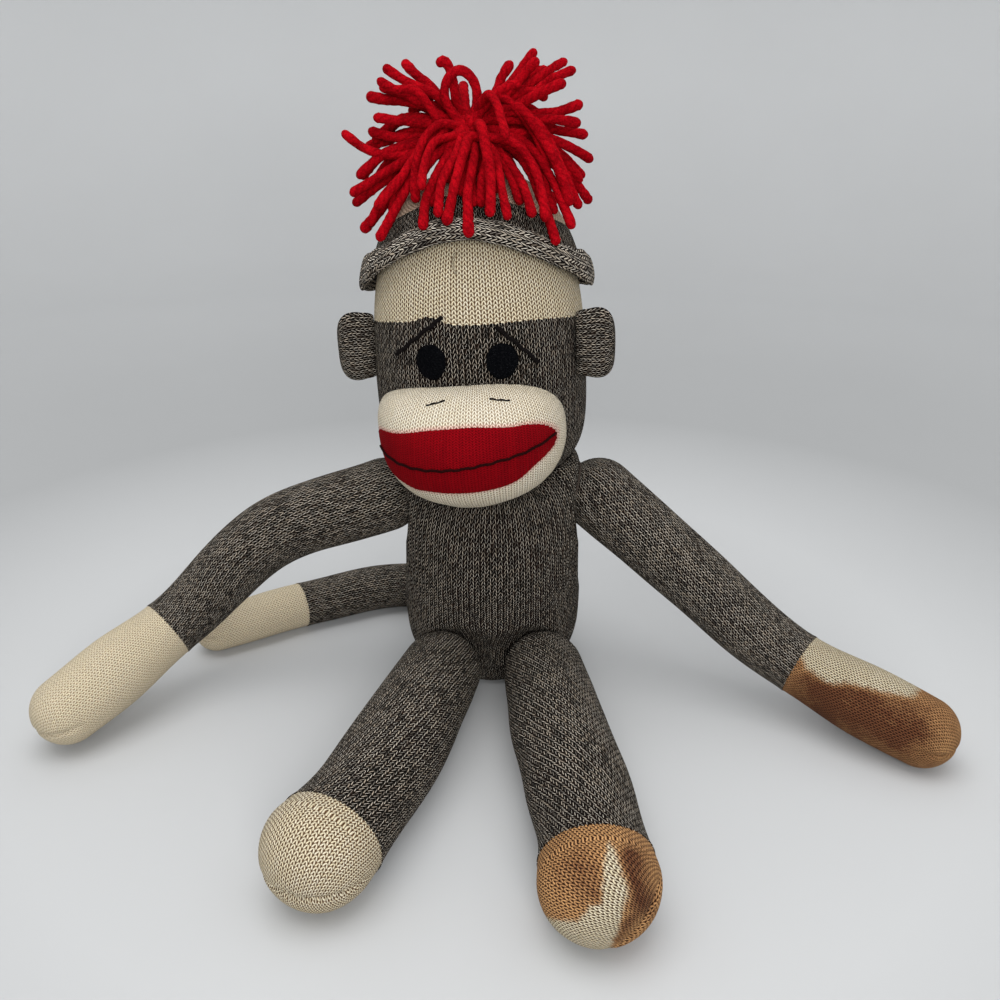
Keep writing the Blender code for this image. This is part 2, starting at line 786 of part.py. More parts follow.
def pompom_strand(centre, aim, reach):
    """One length of yarn, drooping the more the further it stands out."""
    rings = []
    start = POMPOM_CORE_RADIUS * POMPOM_TIP_SHARE
    for i in range(STRAND_STEPS + 1):
        out = start + (reach - start) * i / STRAND_STEPS
        flat = math.hypot(aim.x, aim.y)
        droop = out * out / POMPOM_DROOP_RADIUS * flat
        here = centre + aim * out - Vector((0, 0, droop))
        along = (aim - Vector((0, 0, 2 * out / POMPOM_DROOP_RADIUS * flat))).normalized()
        across = along.orthogonal().normalized()
        up = along.cross(across)
        radius = YARN_THICKNESS / 2 * (1 if i < STRAND_STEPS else POMPOM_TIP_SHARE)
        rings.append([here + (across * math.cos(a) + up * math.sin(a)) * radius for a in turns(STRAND_SIDES)])
    return rings


def make_pompom(pivot):
    top = HEAD_MIDDLE + HEAD_RISE + CAP_GAP + CAP_THICKNESS
    centre = Vector((0, 0, top + GAP + POMPOM_CORE_RADIUS))
    core = bmesh.new()
    place = Matrix.Translation(centre)
    bmesh.ops.create_icosphere(core, subdivisions=2, radius=POMPOM_CORE_RADIUS, matrix=place)
    pompom = new_object("pompom", core, YARN, parent=pivot)
    strands = bmesh.new()
    golden = math.pi * (3 - math.sqrt(5))
    for i in range(POMPOM_STRANDS):
        height = 1 - (1 - POMPOM_LOWEST_SHARE) * (i + 0.5) / POMPOM_STRANDS
        flat = math.sqrt(1 - height * height)
        aim = Vector((flat * math.cos(golden * i), flat * math.sin(golden * i), height))
        uneven = 1 - POMPOM_UNEVEN_SHARE * (1 - math.sin(golden * i * i))
        reach = POMPOM_REACH * uneven * (1 - POMPOM_FLAT_SHARE * max(height, 0))
        piece = skin(pompom_strand(centre, aim, reach))
        loose = bpy.data.meshes.new("strand")
        piece.to_mesh(loose)
        piece.free()
        strands.from_mesh(loose)
        bpy.data.meshes.remove(loose)
    cutter = new_object("pompom_strands", strands, parent=pivot)
    modifier = pompom.modifiers.new("strands", "BOOLEAN")
    modifier.operation = "UNION"
    modifier.solver = "EXACT"
    modifier.object = cutter


# Limbs

def posed_route(length, shares, pose):
    points = [Vector()]
    for share, (heading, drop) in zip(shares, pose):
        points.append(points[-1] + direction(heading, drop) * length * share)
    return Route(points)


def floor_route(limb_girths, root, length, shares, headings):
    """A route that lies on the floor: its height is what the girth needs, from a root at its own height."""
    points = [Vector()]
    along = 0.0
    for share, heading in zip(shares, headings):
        along += share
        step = direction(heading, 0) * length * share
        spot = points[-1] + step
        spot.z = root * (through(limb_girths, along) - 1)
        points.append(spot)
    return Route(points)


def two_zones(limb, split, names, looks, origin):
    """The marl and the cream length of one limb."""
    border = limb.route.length * split
    pieces = (
        new_object(names[0], limb.form(0, border - GAP / 2), looks[0], origin),
        new_object(names[1], limb.form(border + GAP / 2, limb.route.length), looks[1], origin),
    )
    for piece in pieces:
        flat_on_floor(piece)
    return pieces


def sewn_root(torso, name, centre, axis, radius, tilt, thread_angle):
    """Seats a root ball in the torso, with its ring of seam thread."""
    cut(torso, seat_cutter(f"{name}_seat_cutter", centre, axis, radius, tilt, SEAT_SIDES))
    cut(torso, groove_cutter(f"{name}_groove_cutter", centre, axis, radius, thread_angle))
    ring_radius, along = thread_place(radius, thread_angle)
    ring_of_thread(f"{name}_seam_thread", ring_radius, along, axis, centre)


def make_arms(torso):
    height = TORSO_HEIGHT - SHOULDER_DROP
    width = torso_form.width * torso_form.share(height)
    for side, name, pose in ((1, "left", LEFT_ARM_POSE), (-1, "right", RIGHT_ARM_POSE)):
        centre = Vector((side * (width + SHOULDER_OFFSET), 0, height))
        axis = Vector((side * math.cos(SHOULDER_SLOPE), 0, -math.sin(SHOULDER_SLOPE)))
        limb = Limb(posed_route(ARM_LENGTH, ARM_SPAN_SHARES, pose), ARM_ROOT_RADIUS, ARM_GIRTH_SHARES)
        names = (f"sleeve_{name}", f"hand_{name}")
        two_zones(limb, HAND_SHARE, names, (MARL, CREAM), centre)
        root = f"shoulder_{name}"
        sewn_root(torso, root, centre, axis, ARM_ROOT_RADIUS, SHOULDER_TILT, SHOULDER_THREAD_ANGLE)


def make_legs(torso):
    for side, name, length, headings in (
        (1, "left", LEFT_LEG_LENGTH, LEFT_LEG_HEADINGS),
        (-1, "right", RIGHT_LEG_LENGTH, RIGHT_LEG_HEADINGS),
    ):
        centre = Vector((side * HIP_SPACING / 2, -HIP_OFFSET, LEG_ROOT_RADIUS - FLOOR_FLAT))
        axis = Vector((0, -math.cos(HIP_SLOPE), -math.sin(HIP_SLOPE)))
        route = floor_route(LEG_GIRTH_SHARES, LEG_ROOT_RADIUS, length, LEG_SPAN_SHARES, headings)
        limb = Limb(route, LEG_ROOT_RADIUS, LEG_GIRTH_SHARES)
        two_zones(limb, FOOT_SHARE, (f"leg_{name}", f"foot_{name}"), (MARL, CREAM), centre)
        seat = f"hip_{name}_seat_cutter"
        cut(torso, seat_cutter(seat, centre, axis, LEG_ROOT_RADIUS, HIP_TILT, SEAT_SIDES))


def make_tail(torso):
    height = TAIL_ROOT_RADIUS - FLOOR_FLAT
    depth = torso_form.depth * torso_form.share(height)
    centre = Vector((0, depth + TAIL_OFFSET, height))
    route = floor_route(TAIL_GIRTH_SHARES, TAIL_ROOT_RADIUS, TAIL_LENGTH, TAIL_SPAN_SHARES, TAIL_HEADINGS)
    limb = Limb(route, TAIL_ROOT_RADIUS, TAIL_GIRTH_SHARES)
    two_zones(limb, TAIL_TIP_SHARE, ("tail", "tail_tip"), (MARL, CREAM), centre)
    sewn_root(torso, "tail", centre, Vector((0, 1, 0)), TAIL_ROOT_RADIUS, TAIL_TILT, TAIL_THREAD_ANGLE)


def make_neck(torso):
    centre = neck_centre()
    up = Vector((0, 0, 1))
    cut(torso, seat_cutter("neck_seat_cutter", centre, up, NECK_RADIUS, NECK_TILT, HEAD_SIDES))
    cut(torso, groove_cutter("neck_groove_cutter", centre, up, NECK_RADIUS, NECK_THREAD_ANGLE))
    ring_radius, along = thread_place(NECK_RADIUS, NECK_THREAD_ANGLE)
    ring_of_thread("neck_thread", ring_radius, along, up, centre)


def main():
    clear_scene()
    torso = make_torso()
    make_neck(torso)
    make_arms(torso)
    make_legs(torso)
    make_tail(torso)
    pivot = bpy.data.objects.new("head_pivot", None)
    bpy.context.scene.collection.objects.link(pivot)
    pivot.location = neck_centre()
    pivot.rotation_euler = (0, HEAD_LEAN, HEAD_TURN)
    make_head(pivot)
    make_muzzle(pivot)
    make_face(pivot)
    make_ears(pivot)
    make_cap(pivot)
    make_pompom(pivot)


main()
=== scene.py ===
"""Looks of the sock monkey doll: knitted skins, felt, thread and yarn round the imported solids.

Metres, +Z up, the face looks along -Y and the doll's own left side is +X. Every skin carries a UV
map that counts stitches: u is the wale and v the course, so one knit shader serves them all.
"""

import json
import math

import bmesh
import bpy
import numpy as np
from mathutils import Euler, Matrix, Vector


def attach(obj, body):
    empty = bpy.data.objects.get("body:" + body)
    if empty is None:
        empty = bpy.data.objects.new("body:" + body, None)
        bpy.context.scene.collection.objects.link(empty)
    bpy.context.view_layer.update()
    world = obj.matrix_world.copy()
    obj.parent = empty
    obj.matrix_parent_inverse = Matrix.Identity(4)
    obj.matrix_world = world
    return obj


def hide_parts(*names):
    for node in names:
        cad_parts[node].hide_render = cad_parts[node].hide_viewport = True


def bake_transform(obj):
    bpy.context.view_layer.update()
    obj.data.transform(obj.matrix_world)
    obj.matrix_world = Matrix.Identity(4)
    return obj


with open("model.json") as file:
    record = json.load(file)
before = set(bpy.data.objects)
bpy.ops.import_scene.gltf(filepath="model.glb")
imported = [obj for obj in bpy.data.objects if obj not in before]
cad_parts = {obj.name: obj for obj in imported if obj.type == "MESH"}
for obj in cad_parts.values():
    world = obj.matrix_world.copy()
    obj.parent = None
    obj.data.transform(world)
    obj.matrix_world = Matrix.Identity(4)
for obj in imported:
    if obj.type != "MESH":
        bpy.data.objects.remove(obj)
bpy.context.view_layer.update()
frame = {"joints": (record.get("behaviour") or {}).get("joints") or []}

JOINT_AT = {joint["name"]: Vector(joint["pos_m"]) for joint in frame["joints"]}

# Knit gauge
WALE = 0.0027
COURSE = 0.0021
MUZZLE_WALE = 0.0027
MUZZLE_COURSE = 0.0016
FINE_WALE = 0.0029
FINE_COURSE = 0.0011
END_WALE = 0.0024
END_COURSE = 0.0018
PURL_WALE = 0.0032
PURL_COURSE = 0.0022
FACET = 0.00095

# Torso
TORSO_WIDTH = 0.094
TORSO_DEPTH = 0.082
TORSO_HEIGHT = 0.118
TORSO_MIDDLE_SHARE = 0.45
TORSO_POWER = 3.4
SHOULDER_POWER = 9
SHOULDER_RISE = 0.012
SHOULDER_NARROWNESS = 7
JAW_GAP = 0.0012
MUZZLE_GAP = 0.0024
MUZZLE_STEP = 0.0004
SEAT_GAP = 0.0005
SEAT_FILLET = 0.0030
FLOOR_FILLET = 0.0014
LUMP_HEIGHT = 0.0007
LUMP_WAVES = 6
BROAD_LUMP = 0.05
FINE_LUMP = 0.017
GATHER_SHARE = 0.20
NECK_PLEATS = 26
PLEAT_DEPTH = 0.0011

# Head, in its own frame about the neck
NECK_RADIUS = 0.038
NECK_TILT = math.radians(32)
NECK_DOME = math.radians(68)
HEAD_WIDTH = 0.1035
HEAD_DEPTH = 0.096
HEAD_RISE = 0.094
HEAD_DROP = 0.050
HEAD_MIDDLE = 0.027
HEAD_POWER = 2.6
JAW_POWER = 3.6
FACE_SHARE = 0.7
HEAD_TURN = math.radians(-5)
HEAD_LEAN = math.radians(-2.5)
NECK_TURNS = (-20, 20)
FOREHEAD_RISE = 0.0578
FOREHEAD_TILT = 0.0055
FOREHEAD_WAVE = 0.0005
FOREHEAD_PULL = 0.0030
FOREHEAD_PULL_TURN = math.radians(250)
FOREHEAD_PULL_WIDTH = math.radians(8)
FOREHEAD_TOOTH = 0.00035
HEAD_LUMP = 0.06
HEAD_COLUMNS = 168
HEAD_WALES = round(math.pi * (HEAD_WIDTH + HEAD_DEPTH) / 2 / WALE)

# Muzzle and mouth patch
PAD_GAP = 0.0010
MUZZLE_WIDTH = 0.0906
MUZZLE_SHIFT = -0.0028
MUZZLE_TILT = math.radians(4)
MUZZLE_TOP = 0.027
MUZZLE_BOTTOM = 0.035
MUZZLE_HEIGHT = 0.009
MUZZLE_BULGE = 0.034
MUZZLE_POWER = 2.3
MUZZLE_LEFT_POWER = 2.6
MUZZLE_RIGHT_POWER = 3.3
MUZZLE_ROUND = 2.3
PATCH_MIDDLE = (-0.003, 0.0105)
PATCH_RIM = (
    (-0.0458, 0.0112), (-0.0420, 0.0160), (-0.0323, 0.0195), (-0.0178, 0.0236), (-0.0056, 0.0252),
    (0.0039, 0.0258), (0.0120, 0.0252), (0.0209, 0.0240), (0.0270, 0.0232), (0.0340, 0.0200),
    (0.0386, 0.0140), (0.0379, 0.0089), (0.0341, 0.0062), (0.0295, 0.0038), (0.0204, -0.0014),
    (0.0056, -0.0032), (-0.0068, -0.0039), (-0.0177, -0.0045), (-0.0240, -0.0055), (-0.0300, -0.0050),
    (-0.0364, -0.0045), (-0.0412, -0.0030), (-0.0436, -0.0005), (-0.0450, 0.0045),
)
PATCH_LIFT = 0.0002
PATCH_THICKNESS = 0.0007
PATCH_TOOTH = 0.006
MUZZLE_TUCKS = 34
TUCK_DEPTH = 0.0005
MUZZLE_LUMP = 0.035
RUN_DYE_REACH = 0.0016
MOUTH_SPOTS = (
    (-0.0440, 0.0062), (-0.0343, 0.0063), (-0.0220, 0.0070), (-0.0086, 0.0084), (0.0007, 0.0096),
    (0.0125, 0.0111), (0.0269, 0.0123), (0.0339, 0.0133), (0.0384, 0.0138),
)

# Felt and sewn features, as (x, z) spots of the face
EYE_WIDTH = 0.0142
EYE_HEIGHT = 0.0160
EYE_SPACING = 0.0322
EYE_RISE = 0.0463
EYE_THICKNESS = 0.0015
EYE_LIFT = 0.0001
FACE_SHIFT = -0.0010
BROW_THREAD = 0.0019
NOSTRIL_THREAD = 0.0009
MOUTH_THREAD = 0.0012
BROW_ARCH = 0.0006
LEFT_BROW = ((0.0133, 0.0614), (0.0306, 0.0440))
RIGHT_BROW = ((-0.0109, 0.0662), (-0.0343, 0.0478))
LEFT_NOSTRIL = ((0.0107, 0.0342), (0.0190, 0.0329))
RIGHT_NOSTRIL = ((-0.0094, 0.0336), (-0.0173, 0.0319))
LOOSE_END = ((-0.0040, 0.0930), (-0.0050, 0.0900), (-0.0046, 0.0868), (-0.0036, 0.0850))
LOOSE_THREAD = 0.0011
LOOSE_STITCH = 0.0040
BROW_STITCH = 0.0042
NOSTRIL_STITCH = 0.0021
MOUTH_STITCH = 0.0036

# Ears
EAR_REACH = 0.0125
EAR_SWELL = 0.0035
EAR_THICKNESS = 0.0116
EAR_ROOT_HEIGHT = 0.0320
EAR_ROUND_SHARE = 0.85
EAR_LEFT_SHIFT = (-0.0024, -0.0050, 0.0060)
EAR_RIGHT_SHIFT = (0.0010, 0.0030, 0.0050)
EAR_RIGHT_FOLD = math.radians(16)
EAR_BEND = (-0.002, 0.008)
EAR_LUMP = 0.02
EAR_LUMP_HEIGHT = 0.0003

# Cap
CAP_GAP = 0.0008
CAP_THICKNESS = 0.0022
BRIM_HEIGHT = 0.0520
BRIM_TILT = 0.0125
BRIM_ROLL_WIDTH = 0.0105
BRIM_DEPTH = 0.0065
BAND_WIDTH = 0.0165
BRIM_ARCH = 0.0105
BRIM_ARCH_POWER = 2.8
BAND_ARCH_SHARE = 0.6
BRIM_FLAP = 0.005
BRIM_SIDE_THIN = 0.0018
BRIM_LIFT = 0.0002
# How far from the crown's middle the painted red bounce light from the pompom's yarn reaches.
CROWN_BOUNCE_REACH = 0.05

# Limbs
ARM_LENGTH = 0.212
ARM_ROOT = 0.0192
LEFT_HAND_SHARE = 0.622
RIGHT_HAND_SHARE = 0.635
ARM_GIRTH_SHARES = ((0, 1), (0.18, 0.96), (0.42, 0.9), (0.63, 0.82), (0.8, 0.93), (1, 0.86))
ARM_SPAN_SHARES = (0.3, 0.3, 0.4)
SHOULDER_SLOPE = math.radians(14)
SHOULDER_TILT = math.radians(52)
LEFT_ARM_POSE = ((66, 35), (60, 31), (52, 12))
RIGHT_ARM_POSE = ((-80, 17), (-70, 39), (-42, 19))
LEFT_LEG_LENGTH = 0.172
RIGHT_LEG_LENGTH = 0.160
LEG_ROOT = 0.0205
FOOT_SHARE = 0.80
LEFT_FOOT_LEAD = 0.0063
RIGHT_FOOT_LEAD = 0.004
LEFT_TOE_SEAM = (math.radians(-50), 0.012)
RIGHT_TOE_SEAM = (0.0, 0.004)
LEG_GIRTH_SHARES = ((0, 1), (0.25, 1.08), (0.5, 1.1), (0.7, 1.06), (0.87, 1.15), (1, 1.12))
LEG_SPAN_SHARES = (0.34, 0.33, 0.33)
HIP_SLOPE = math.radians(24)
HIP_TILT = math.radians(66)
LEFT_LEG_HEADINGS = (5.5, 8, 2)
RIGHT_LEG_HEADINGS = (-13.5, -18, -23)
TAIL_LENGTH = 0.186
TAIL_ROOT = 0.0140
TAIL_TIP_SHARE = 0.66
TAIL_GIRTH_SHARES = ((0, 1), (0.4, 0.95), (0.7, 0.92), (1, 0.86))
TAIL_SPAN_SHARES = (0.3, 0.3, 0.4)
TAIL_TILT = math.radians(55)
TAIL_HEADINGS = (-112, -70, -58)

LEFT_LEG_LEAN = math.radians(-24)
RIGHT_LEG_LEAN = math.radians(8)
ARM_LEAN = math.radians(6)
RING_STEP = 0.0021
LEAD_REACH = 0.022
LIMB_LUMP = 0.042
LIMB_TOOTH = 0.0004
BORDER_FLARES = (0.018, 0.005)
BORDER_OVERLAP = 0.0006
TOE_SEAM_DEPTH = 0.0015
TOE_SEAM_WIDTH = 0.0013

# Seam threads
SEAM_THREAD = 0.0012
THREAD_GAP = 0.0003
SHOULDER_THREAD_ANGLE = math.radians(44)
TAIL_THREAD_ANGLE = math.radians(36)
NECK_THREAD_ANGLE = math.radians(38)

# Pompom of yarn
YARN = 0.0042
YARN_TURN = 0.0155
POMPOM_CORE = 0.0175

# Camera
CAMERA_PLACE = Vector((0.004, -0.481, 0.302))
CAMERA_DOWN = math.radians(23)
LENS = 36
PIXELS = 1000

UP = Vector((0, 0, 1))
TINY = 1e-7
EDGE = math.radians(60)


# Camera, lights and stage

def make_camera():
    data = bpy.data.cameras.new("camera")
    data.lens = LENS
    data.sensor_width = LENS
    camera = bpy.data.objects.new("camera", data)
    bpy.context.scene.collection.objects.link(camera)
    camera.location = CAMERA_PLACE
    camera.rotation_euler = (math.pi / 2 - CAMERA_DOWN, 0, 0)
    bpy.context.scene.camera = camera


def through_pixel(x, y, depth):
    """The point at this world y on the line of sight through a pixel."""
    sight = Vector((x - PIXELS / 2, PIXELS / 2 - y, -PIXELS))
    sight = Matrix.Rotation(math.pi / 2 - CAMERA_DOWN, 3, "X") @ sight
    return CAMERA_PLACE + sight * ((depth - CAMERA_PLACE.y) / sight.y)


def seen_pixels(points):
    """Where points show in the photograph's frame, as arrays x and y."""
    turn = np.array(Matrix.Rotation(math.pi / 2 - CAMERA_DOWN, 3, "X"))
    away = (points - np.array(CAMERA_PLACE)) @ turn
    return (
        PIXELS / 2 - PIXELS * away[..., 0] / away[..., 2],
        PIXELS / 2 + PIXELS * away[..., 1] / away[..., 2],
    )


def make_light(name, place, aim, size, power):
    data = bpy.data.lights.new(name, "AREA")
    data.size = size
    data.energy = power
    light = bpy.data.objects.new(name, data)
    bpy.context.scene.collection.objects.link(light)
    light.location = place
    light.rotation_euler = (Vector(aim) - Vector(place)).to_track_quat("-Z", "Y").to_euler()


def make_stage():
    """A round pale sweep: a flat floor that curves up into a low wall all round. Its grey carries painted
    light and shade.
    """
    profile = [(0.0, 0.0), *((r, 0.0) for r in np.linspace(0.1, FLOOR_REACH, 22))]
    for a in math.pi / 2 * np.arange(1, 13) / 12:
        profile.append((FLOOR_REACH + SWEEP_BEND * math.sin(a), SWEEP_BEND * (1 - math.cos(a))))
    profile.append((profile[-1][0], WALL_TOP))
    turn = turned(96)
    points = np.array([[(r * math.cos(t), r * math.sin(t), z) for t in turn] for r, z in profile])
    x, y, z = points[..., 0], points[..., 1], points[..., 2]
    # Painted light and shade: the grey is set by distance from the middle on the floor and by height on the
    # wall, standing in for how the lamps' light falls off.
    wall_painted_shade = np.interp(z, *zip(*WALL_PAINTED_SHADES))
    tone = np.where(z > 0, wall_painted_shade, np.interp(np.hypot(x, y), *zip(*FLOOR_PAINTED_SHADES)))
    # Painted shade: the grey is darker round the spot under the front lamp, to hide that lamp's bright
    # patch.
    by_light = np.hypot(x - FRONT_LIGHT[0], y - FRONT_LIGHT[1])
    tone = tone * (1 - LAMP_SPOT_PAINTED_SHADE * np.exp(-((by_light / LAMP_SPOT_SHADE_REACH) ** 2)))
    sweep = skin("studio_sweep", points, lambda r, t, m: (t, r), sweep_look(), {"tone": tone})
    sweep.location = (0, 0, -FLOOR_DROP)
    make_light("overhead", OVERHEAD_LIGHT, (0, -0.05, 0.05), OVERHEAD_SIZE, OVERHEAD_POWER)
    make_light("front", FRONT_LIGHT, (0, 0, 0.14), FRONT_SIZE, FRONT_POWER)
    world = bpy.data.worlds.new("studio")
    bpy.context.scene.world = world
    world.use_nodes = True
    background = world.node_tree.nodes["Background"]
    background.inputs["Color"].default_value = SKY
    background.inputs["Strength"].default_value = 1.0
    bpy.context.scene.view_settings.view_transform = "Standard"


OVERHEAD_LIGHT = (-0.15, -0.25, 1.45)
OVERHEAD_SIZE = 1.1
OVERHEAD_POWER = 9
FRONT_LIGHT = (0.15, -1.3, 0.60)
FRONT_SIZE = 0.62
FRONT_POWER = 11
SKY = (0.97, 0.985, 1, 1)
# Painted shade on the sweep round the spot under the front lamp: how much darker, and how far it reaches.
LAMP_SPOT_PAINTED_SHADE = 0.62
LAMP_SPOT_SHADE_REACH = 0.5
FLOOR_DROP = 0.0002
FLOOR_REACH = 1.15
SWEEP_BEND = 0.55
WALL_TOP = 1.5
# Painted light and shade on the sweep: its grey by distance from the middle on the floor, and by height on
# the wall.
FLOOR_PAINTED_SHADES = ((0.25, 0.515), (0.45, 0.385), (0.7, 0.43), (1.0, 0.50), (1.15, 0.52))
WALL_PAINTED_SHADES = ((0, 0.52), (0.1, 0.54), (0.3, 0.60), (0.6, 0.62))


# Shader graphs

class Graph:
    """Adds shader nodes by plain calls. A value may be a number, a colour or a Signal."""

    def __init__(self, name):
        self.look = bpy.data.materials.new(name)
        self.look.use_nodes = True
        self.tree = self.look.node_tree
        self.shader = self.tree.nodes["Principled BSDF"]

    def node(self, kind, **settings):
        made = self.tree.nodes.new(kind)
        for key, value in settings.items():
            setattr(made, key, value)
        return made

    def feed(self, socket, value):
        if isinstance(value, Signal):
            self.tree.links.new(value.socket, socket)
        else:
            socket.default_value = value

    def fed(self, kind, *values, **settings):
        """The first output of a new node whose inputs take these values in order."""
        made = self.node(kind, **settings)
        for socket, value in zip(made.inputs, values):
            self.feed(socket, value)
        return Signal(self, made.outputs[0])

    def math(self, operation, *values, clamp=False):
        return self.fed("ShaderNodeMath", *values, operation=operation, use_clamp=clamp)

    def mix(self, share, low, high, blend="MIX"):
        made = self.node("ShaderNodeMix", data_type="RGBA", blend_type=blend)
        self.feed(made.inputs[0], share)
        for socket, value in ((made.inputs[6], low), (made.inputs[7], high)):
            self.feed(socket, (*value, 1) if isinstance(value, tuple) else value)
        return Signal(self, made.outputs[2])

    def spread(self, value, low, high, to_low=0.0, to_high=1.0, smooth=True):
        kind = "SMOOTHSTEP" if smooth else "LINEAR"
        return self.fed("ShaderNodeMapRange", value, low, high, to_low, to_high, interpolation_type=kind)

    def noise(self, scale, detail=2.0):
        made = self.node("ShaderNodeTexNoise")
        self.tree.links.new(self.node("ShaderNodeTexCoord").outputs["Object"], made.inputs["Vector"])
        self.feed(made.inputs["Scale"], scale)
        self.feed(made.inputs["Detail"], detail)
        return Signal(self, made.outputs["Fac"])

    def mark(self, name):
        return Signal(self, self.node("ShaderNodeAttribute", attribute_name=name).outputs["Fac"])

    def random(self, x, y, seed):
        place = self.fed("ShaderNodeCombineXYZ", x, y, seed)
        return self.fed("ShaderNodeTexWhiteNoise", place, noise_dimensions="3D")

    def stitch_map(self):
        """The wale and the course that a skin's map counts."""
        parts = self.node("ShaderNodeSeparateXYZ")
        self.feed(parts.inputs[0], self.fed("ShaderNodeUVMap", uv_map="stitches"))
        return Signal(self, parts.outputs[0]), Signal(self, parts.outputs[1])

    def bump(self, height, relief):
        """Raises the surface by a height; relief is how many metres 1 stands for."""
        made = self.node("ShaderNodeBump")
        self.feed(made.inputs["Height"], height)
        self.feed(made.inputs["Distance"], relief)
        self.tree.links.new(made.outputs[0], self.shader.inputs["Normal"])

    def finish(self, colour, roughness, sheen, sheen_tint, specular=0.12):
        self.feed(self.shader.inputs["Base Color"], colour)
        self.feed(self.shader.inputs["Roughness"], roughness)
        self.shader.inputs["Specular IOR Level"].default_value = specular
        self.shader.inputs["Sheen Weight"].default_value = sheen
        self.shader.inputs["Sheen Roughness"].default_value = 0.5
        self.shader.inputs["Sheen Tint"].default_value = (*sheen_tint, 1)
        return self.look


class Signal:
    """The output of a shader node. Arithmetic on it adds math nodes to its graph."""

    def __init__(self, graph, socket):
        self.graph = graph
        self.socket = socket

    def __add__(self, other):
        return self.graph.math("ADD", self, other)

    def __sub__(self, other):
        return self.graph.math("SUBTRACT", self, other)

    def __rsub__(self, other):
        return self.graph.math("SUBTRACT", other, self)

    def __mul__(self, other):
        return self.graph.math("MULTIPLY", self, other)

    def __truediv__(self, other):
        return self.graph.math("DIVIDE", self, other)

    def __pow__(self, other):
        return self.graph.math("POWER", self, other)

    def __abs__(self):
        return self.graph.math("ABSOLUTE", self)


STITCH_CLIMB = 1.15
LEG_LEAN = 0.15
LEG_WIDTH = 0.27
GAP_SIZE = (0.15, 0.36)
INNER_GAP = 0.35
OUTER_GAP = 0.775


class Stitches:
    """Stockinette in a graph: each wale is a column of V stitches of two leaning legs."""

    def __init__(self, graph, hole):
        wale, course = graph.stitch_map()
        across = graph.math("FRACT", wale) - 0.5
        out = abs(across)
        climb = course - out * STITCH_CLIMB
        self.graph = graph
        self.side = graph.math("GREATER_THAN", across, 0.0)
        self.along = graph.math("FRACT", climb)
        self.column = graph.math("FLOOR", wale) * 2.0 + self.side
        self.row = graph.math("FLOOR", climb)
        centred = self.along - 0.5
        self.off = (out - (centred * (2 * LEG_LEAN) + 0.25)) / LEG_WIDTH
        self.end = abs(centred * 2.0)
        swell = graph.math("SUBTRACT", 1.0, self.off * self.off, clamp=True)
        leg = graph.math("SQRT", swell) * (1.0 - self.end**3.0 * 0.6)
        gaps = self.opening(out, course + INNER_GAP), self.opening(0.5 - out, course + OUTER_GAP)
        self.height = leg - graph.math("MAXIMUM", *gaps) * hole * leg

    def opening(self, out, course):
        """How deep the gap is that legs leave between them where they bend away."""
        up = abs(self.graph.math("FRACT", course) - 0.5)
        off = (out / GAP_SIZE[0]) ** 2.0 + (up / GAP_SIZE[1]) ** 2.0
        return self.graph.math("SQRT", self.graph.math("SUBTRACT", 1.0, off, clamp=True))

    def chance(self, seed):
        return self.graph.random(self.column, self.row, seed)


def knit_look(
    name, colour_of, depth=0.0011, crevice_shade=0.16, sheen=0.12, tint=(0.9, 0.8, 0.65), hole=0.85, warm=0.45,
    specular=0.12,
):
    """A knitted finish. colour_of(graph, stitches) gives the yarn's colour before painted shade darkens it
    in the crevices between stitches;
    warm is how much more its green and blue darken there, as light does that comes through wool."""
    graph = Graph(name)
    stitches = Stitches(graph, hole)
    fuzz = graph.noise(1300.0, 3.0)
    grain = graph.spread(fuzz, 0.25, 0.75, 0.84, 1.12)
    # Painted shade: the colour is darkened where the stitches' height is low, in the gaps and crevices
    # between them, down to the crevice level.
    open_light = graph.spread(stitches.height, 0.0, 0.75, crevice_shade, 1.0)
    painted_darkening = [grain * open_light**power for power in (1.0, 1.0 + warm / 2, 1.0 + warm)]
    shade = graph.fed("ShaderNodeCombineColor", *painted_darkening)
    colour = graph.mix(1.0, colour_of(graph, stitches), shade, "MULTIPLY")
    graph.bump(stitches.height + fuzz * 0.35, depth)
    return graph.finish(colour, graph.spread(fuzz, 0.2, 0.8, 0.86, 1.0), sheen, tint, specular)


DARK_PLY = (0.007, 0.0055, 0.005)
BROWN_PLY = (0.030, 0.018, 0.013)
PALE_PLY = (0.90, 0.83, 0.72)
WORN_PLY = (0.42, 0.35, 0.27)
CREAM_YARN = (0.84, 0.755, 0.575)
CREAM_SHADE = (0.75, 0.645, 0.44)
MUZZLE_YARN = (0.84, 0.775, 0.64)
WORN_YARN = (0.66, 0.58, 0.43)
# Pink of the run dye on the muzzle; on the cap's crown the same pink is painted red bounce light.
PINK_DYE_AND_BOUNCE = (0.72, 0.30, 0.27)
TAN_STAIN = (0.62, 0.335, 0.14)
# Brown of the stain; on the left foot it also paints shade along the toe seam.
BROWN_STAIN_AND_SEAM_SHADE = (0.17, 0.062, 0.026)
RED_KNIT = (0.25, 0.0022, 0.0055)
RED_SHADE = (0.175, 0.0015, 0.0045)
RED_YARN = (0.50, 0.003, 0.009)
YARN_SHADE = (0.17, 0.0006, 0.003)
BLACK_FELT = (0.006, 0.006, 0.007)
FELT_SHADE = (0.0012, 0.0014, 0.002)
# Thread colours as (darkest, lightest): the dark end paints shade in the grooves between plies, mixed with
# random fibre tone.
DARK_THREADS = ((0.0015, 0.0012, 0.0012), (0.009, 0.007, 0.007))
MOUTH_THREADS = ((0.004, 0.0006, 0.0006), (0.025, 0.003, 0.003))
SEWING_THREADS = ((0.02, 0.015, 0.013), (0.07, 0.055, 0.045))


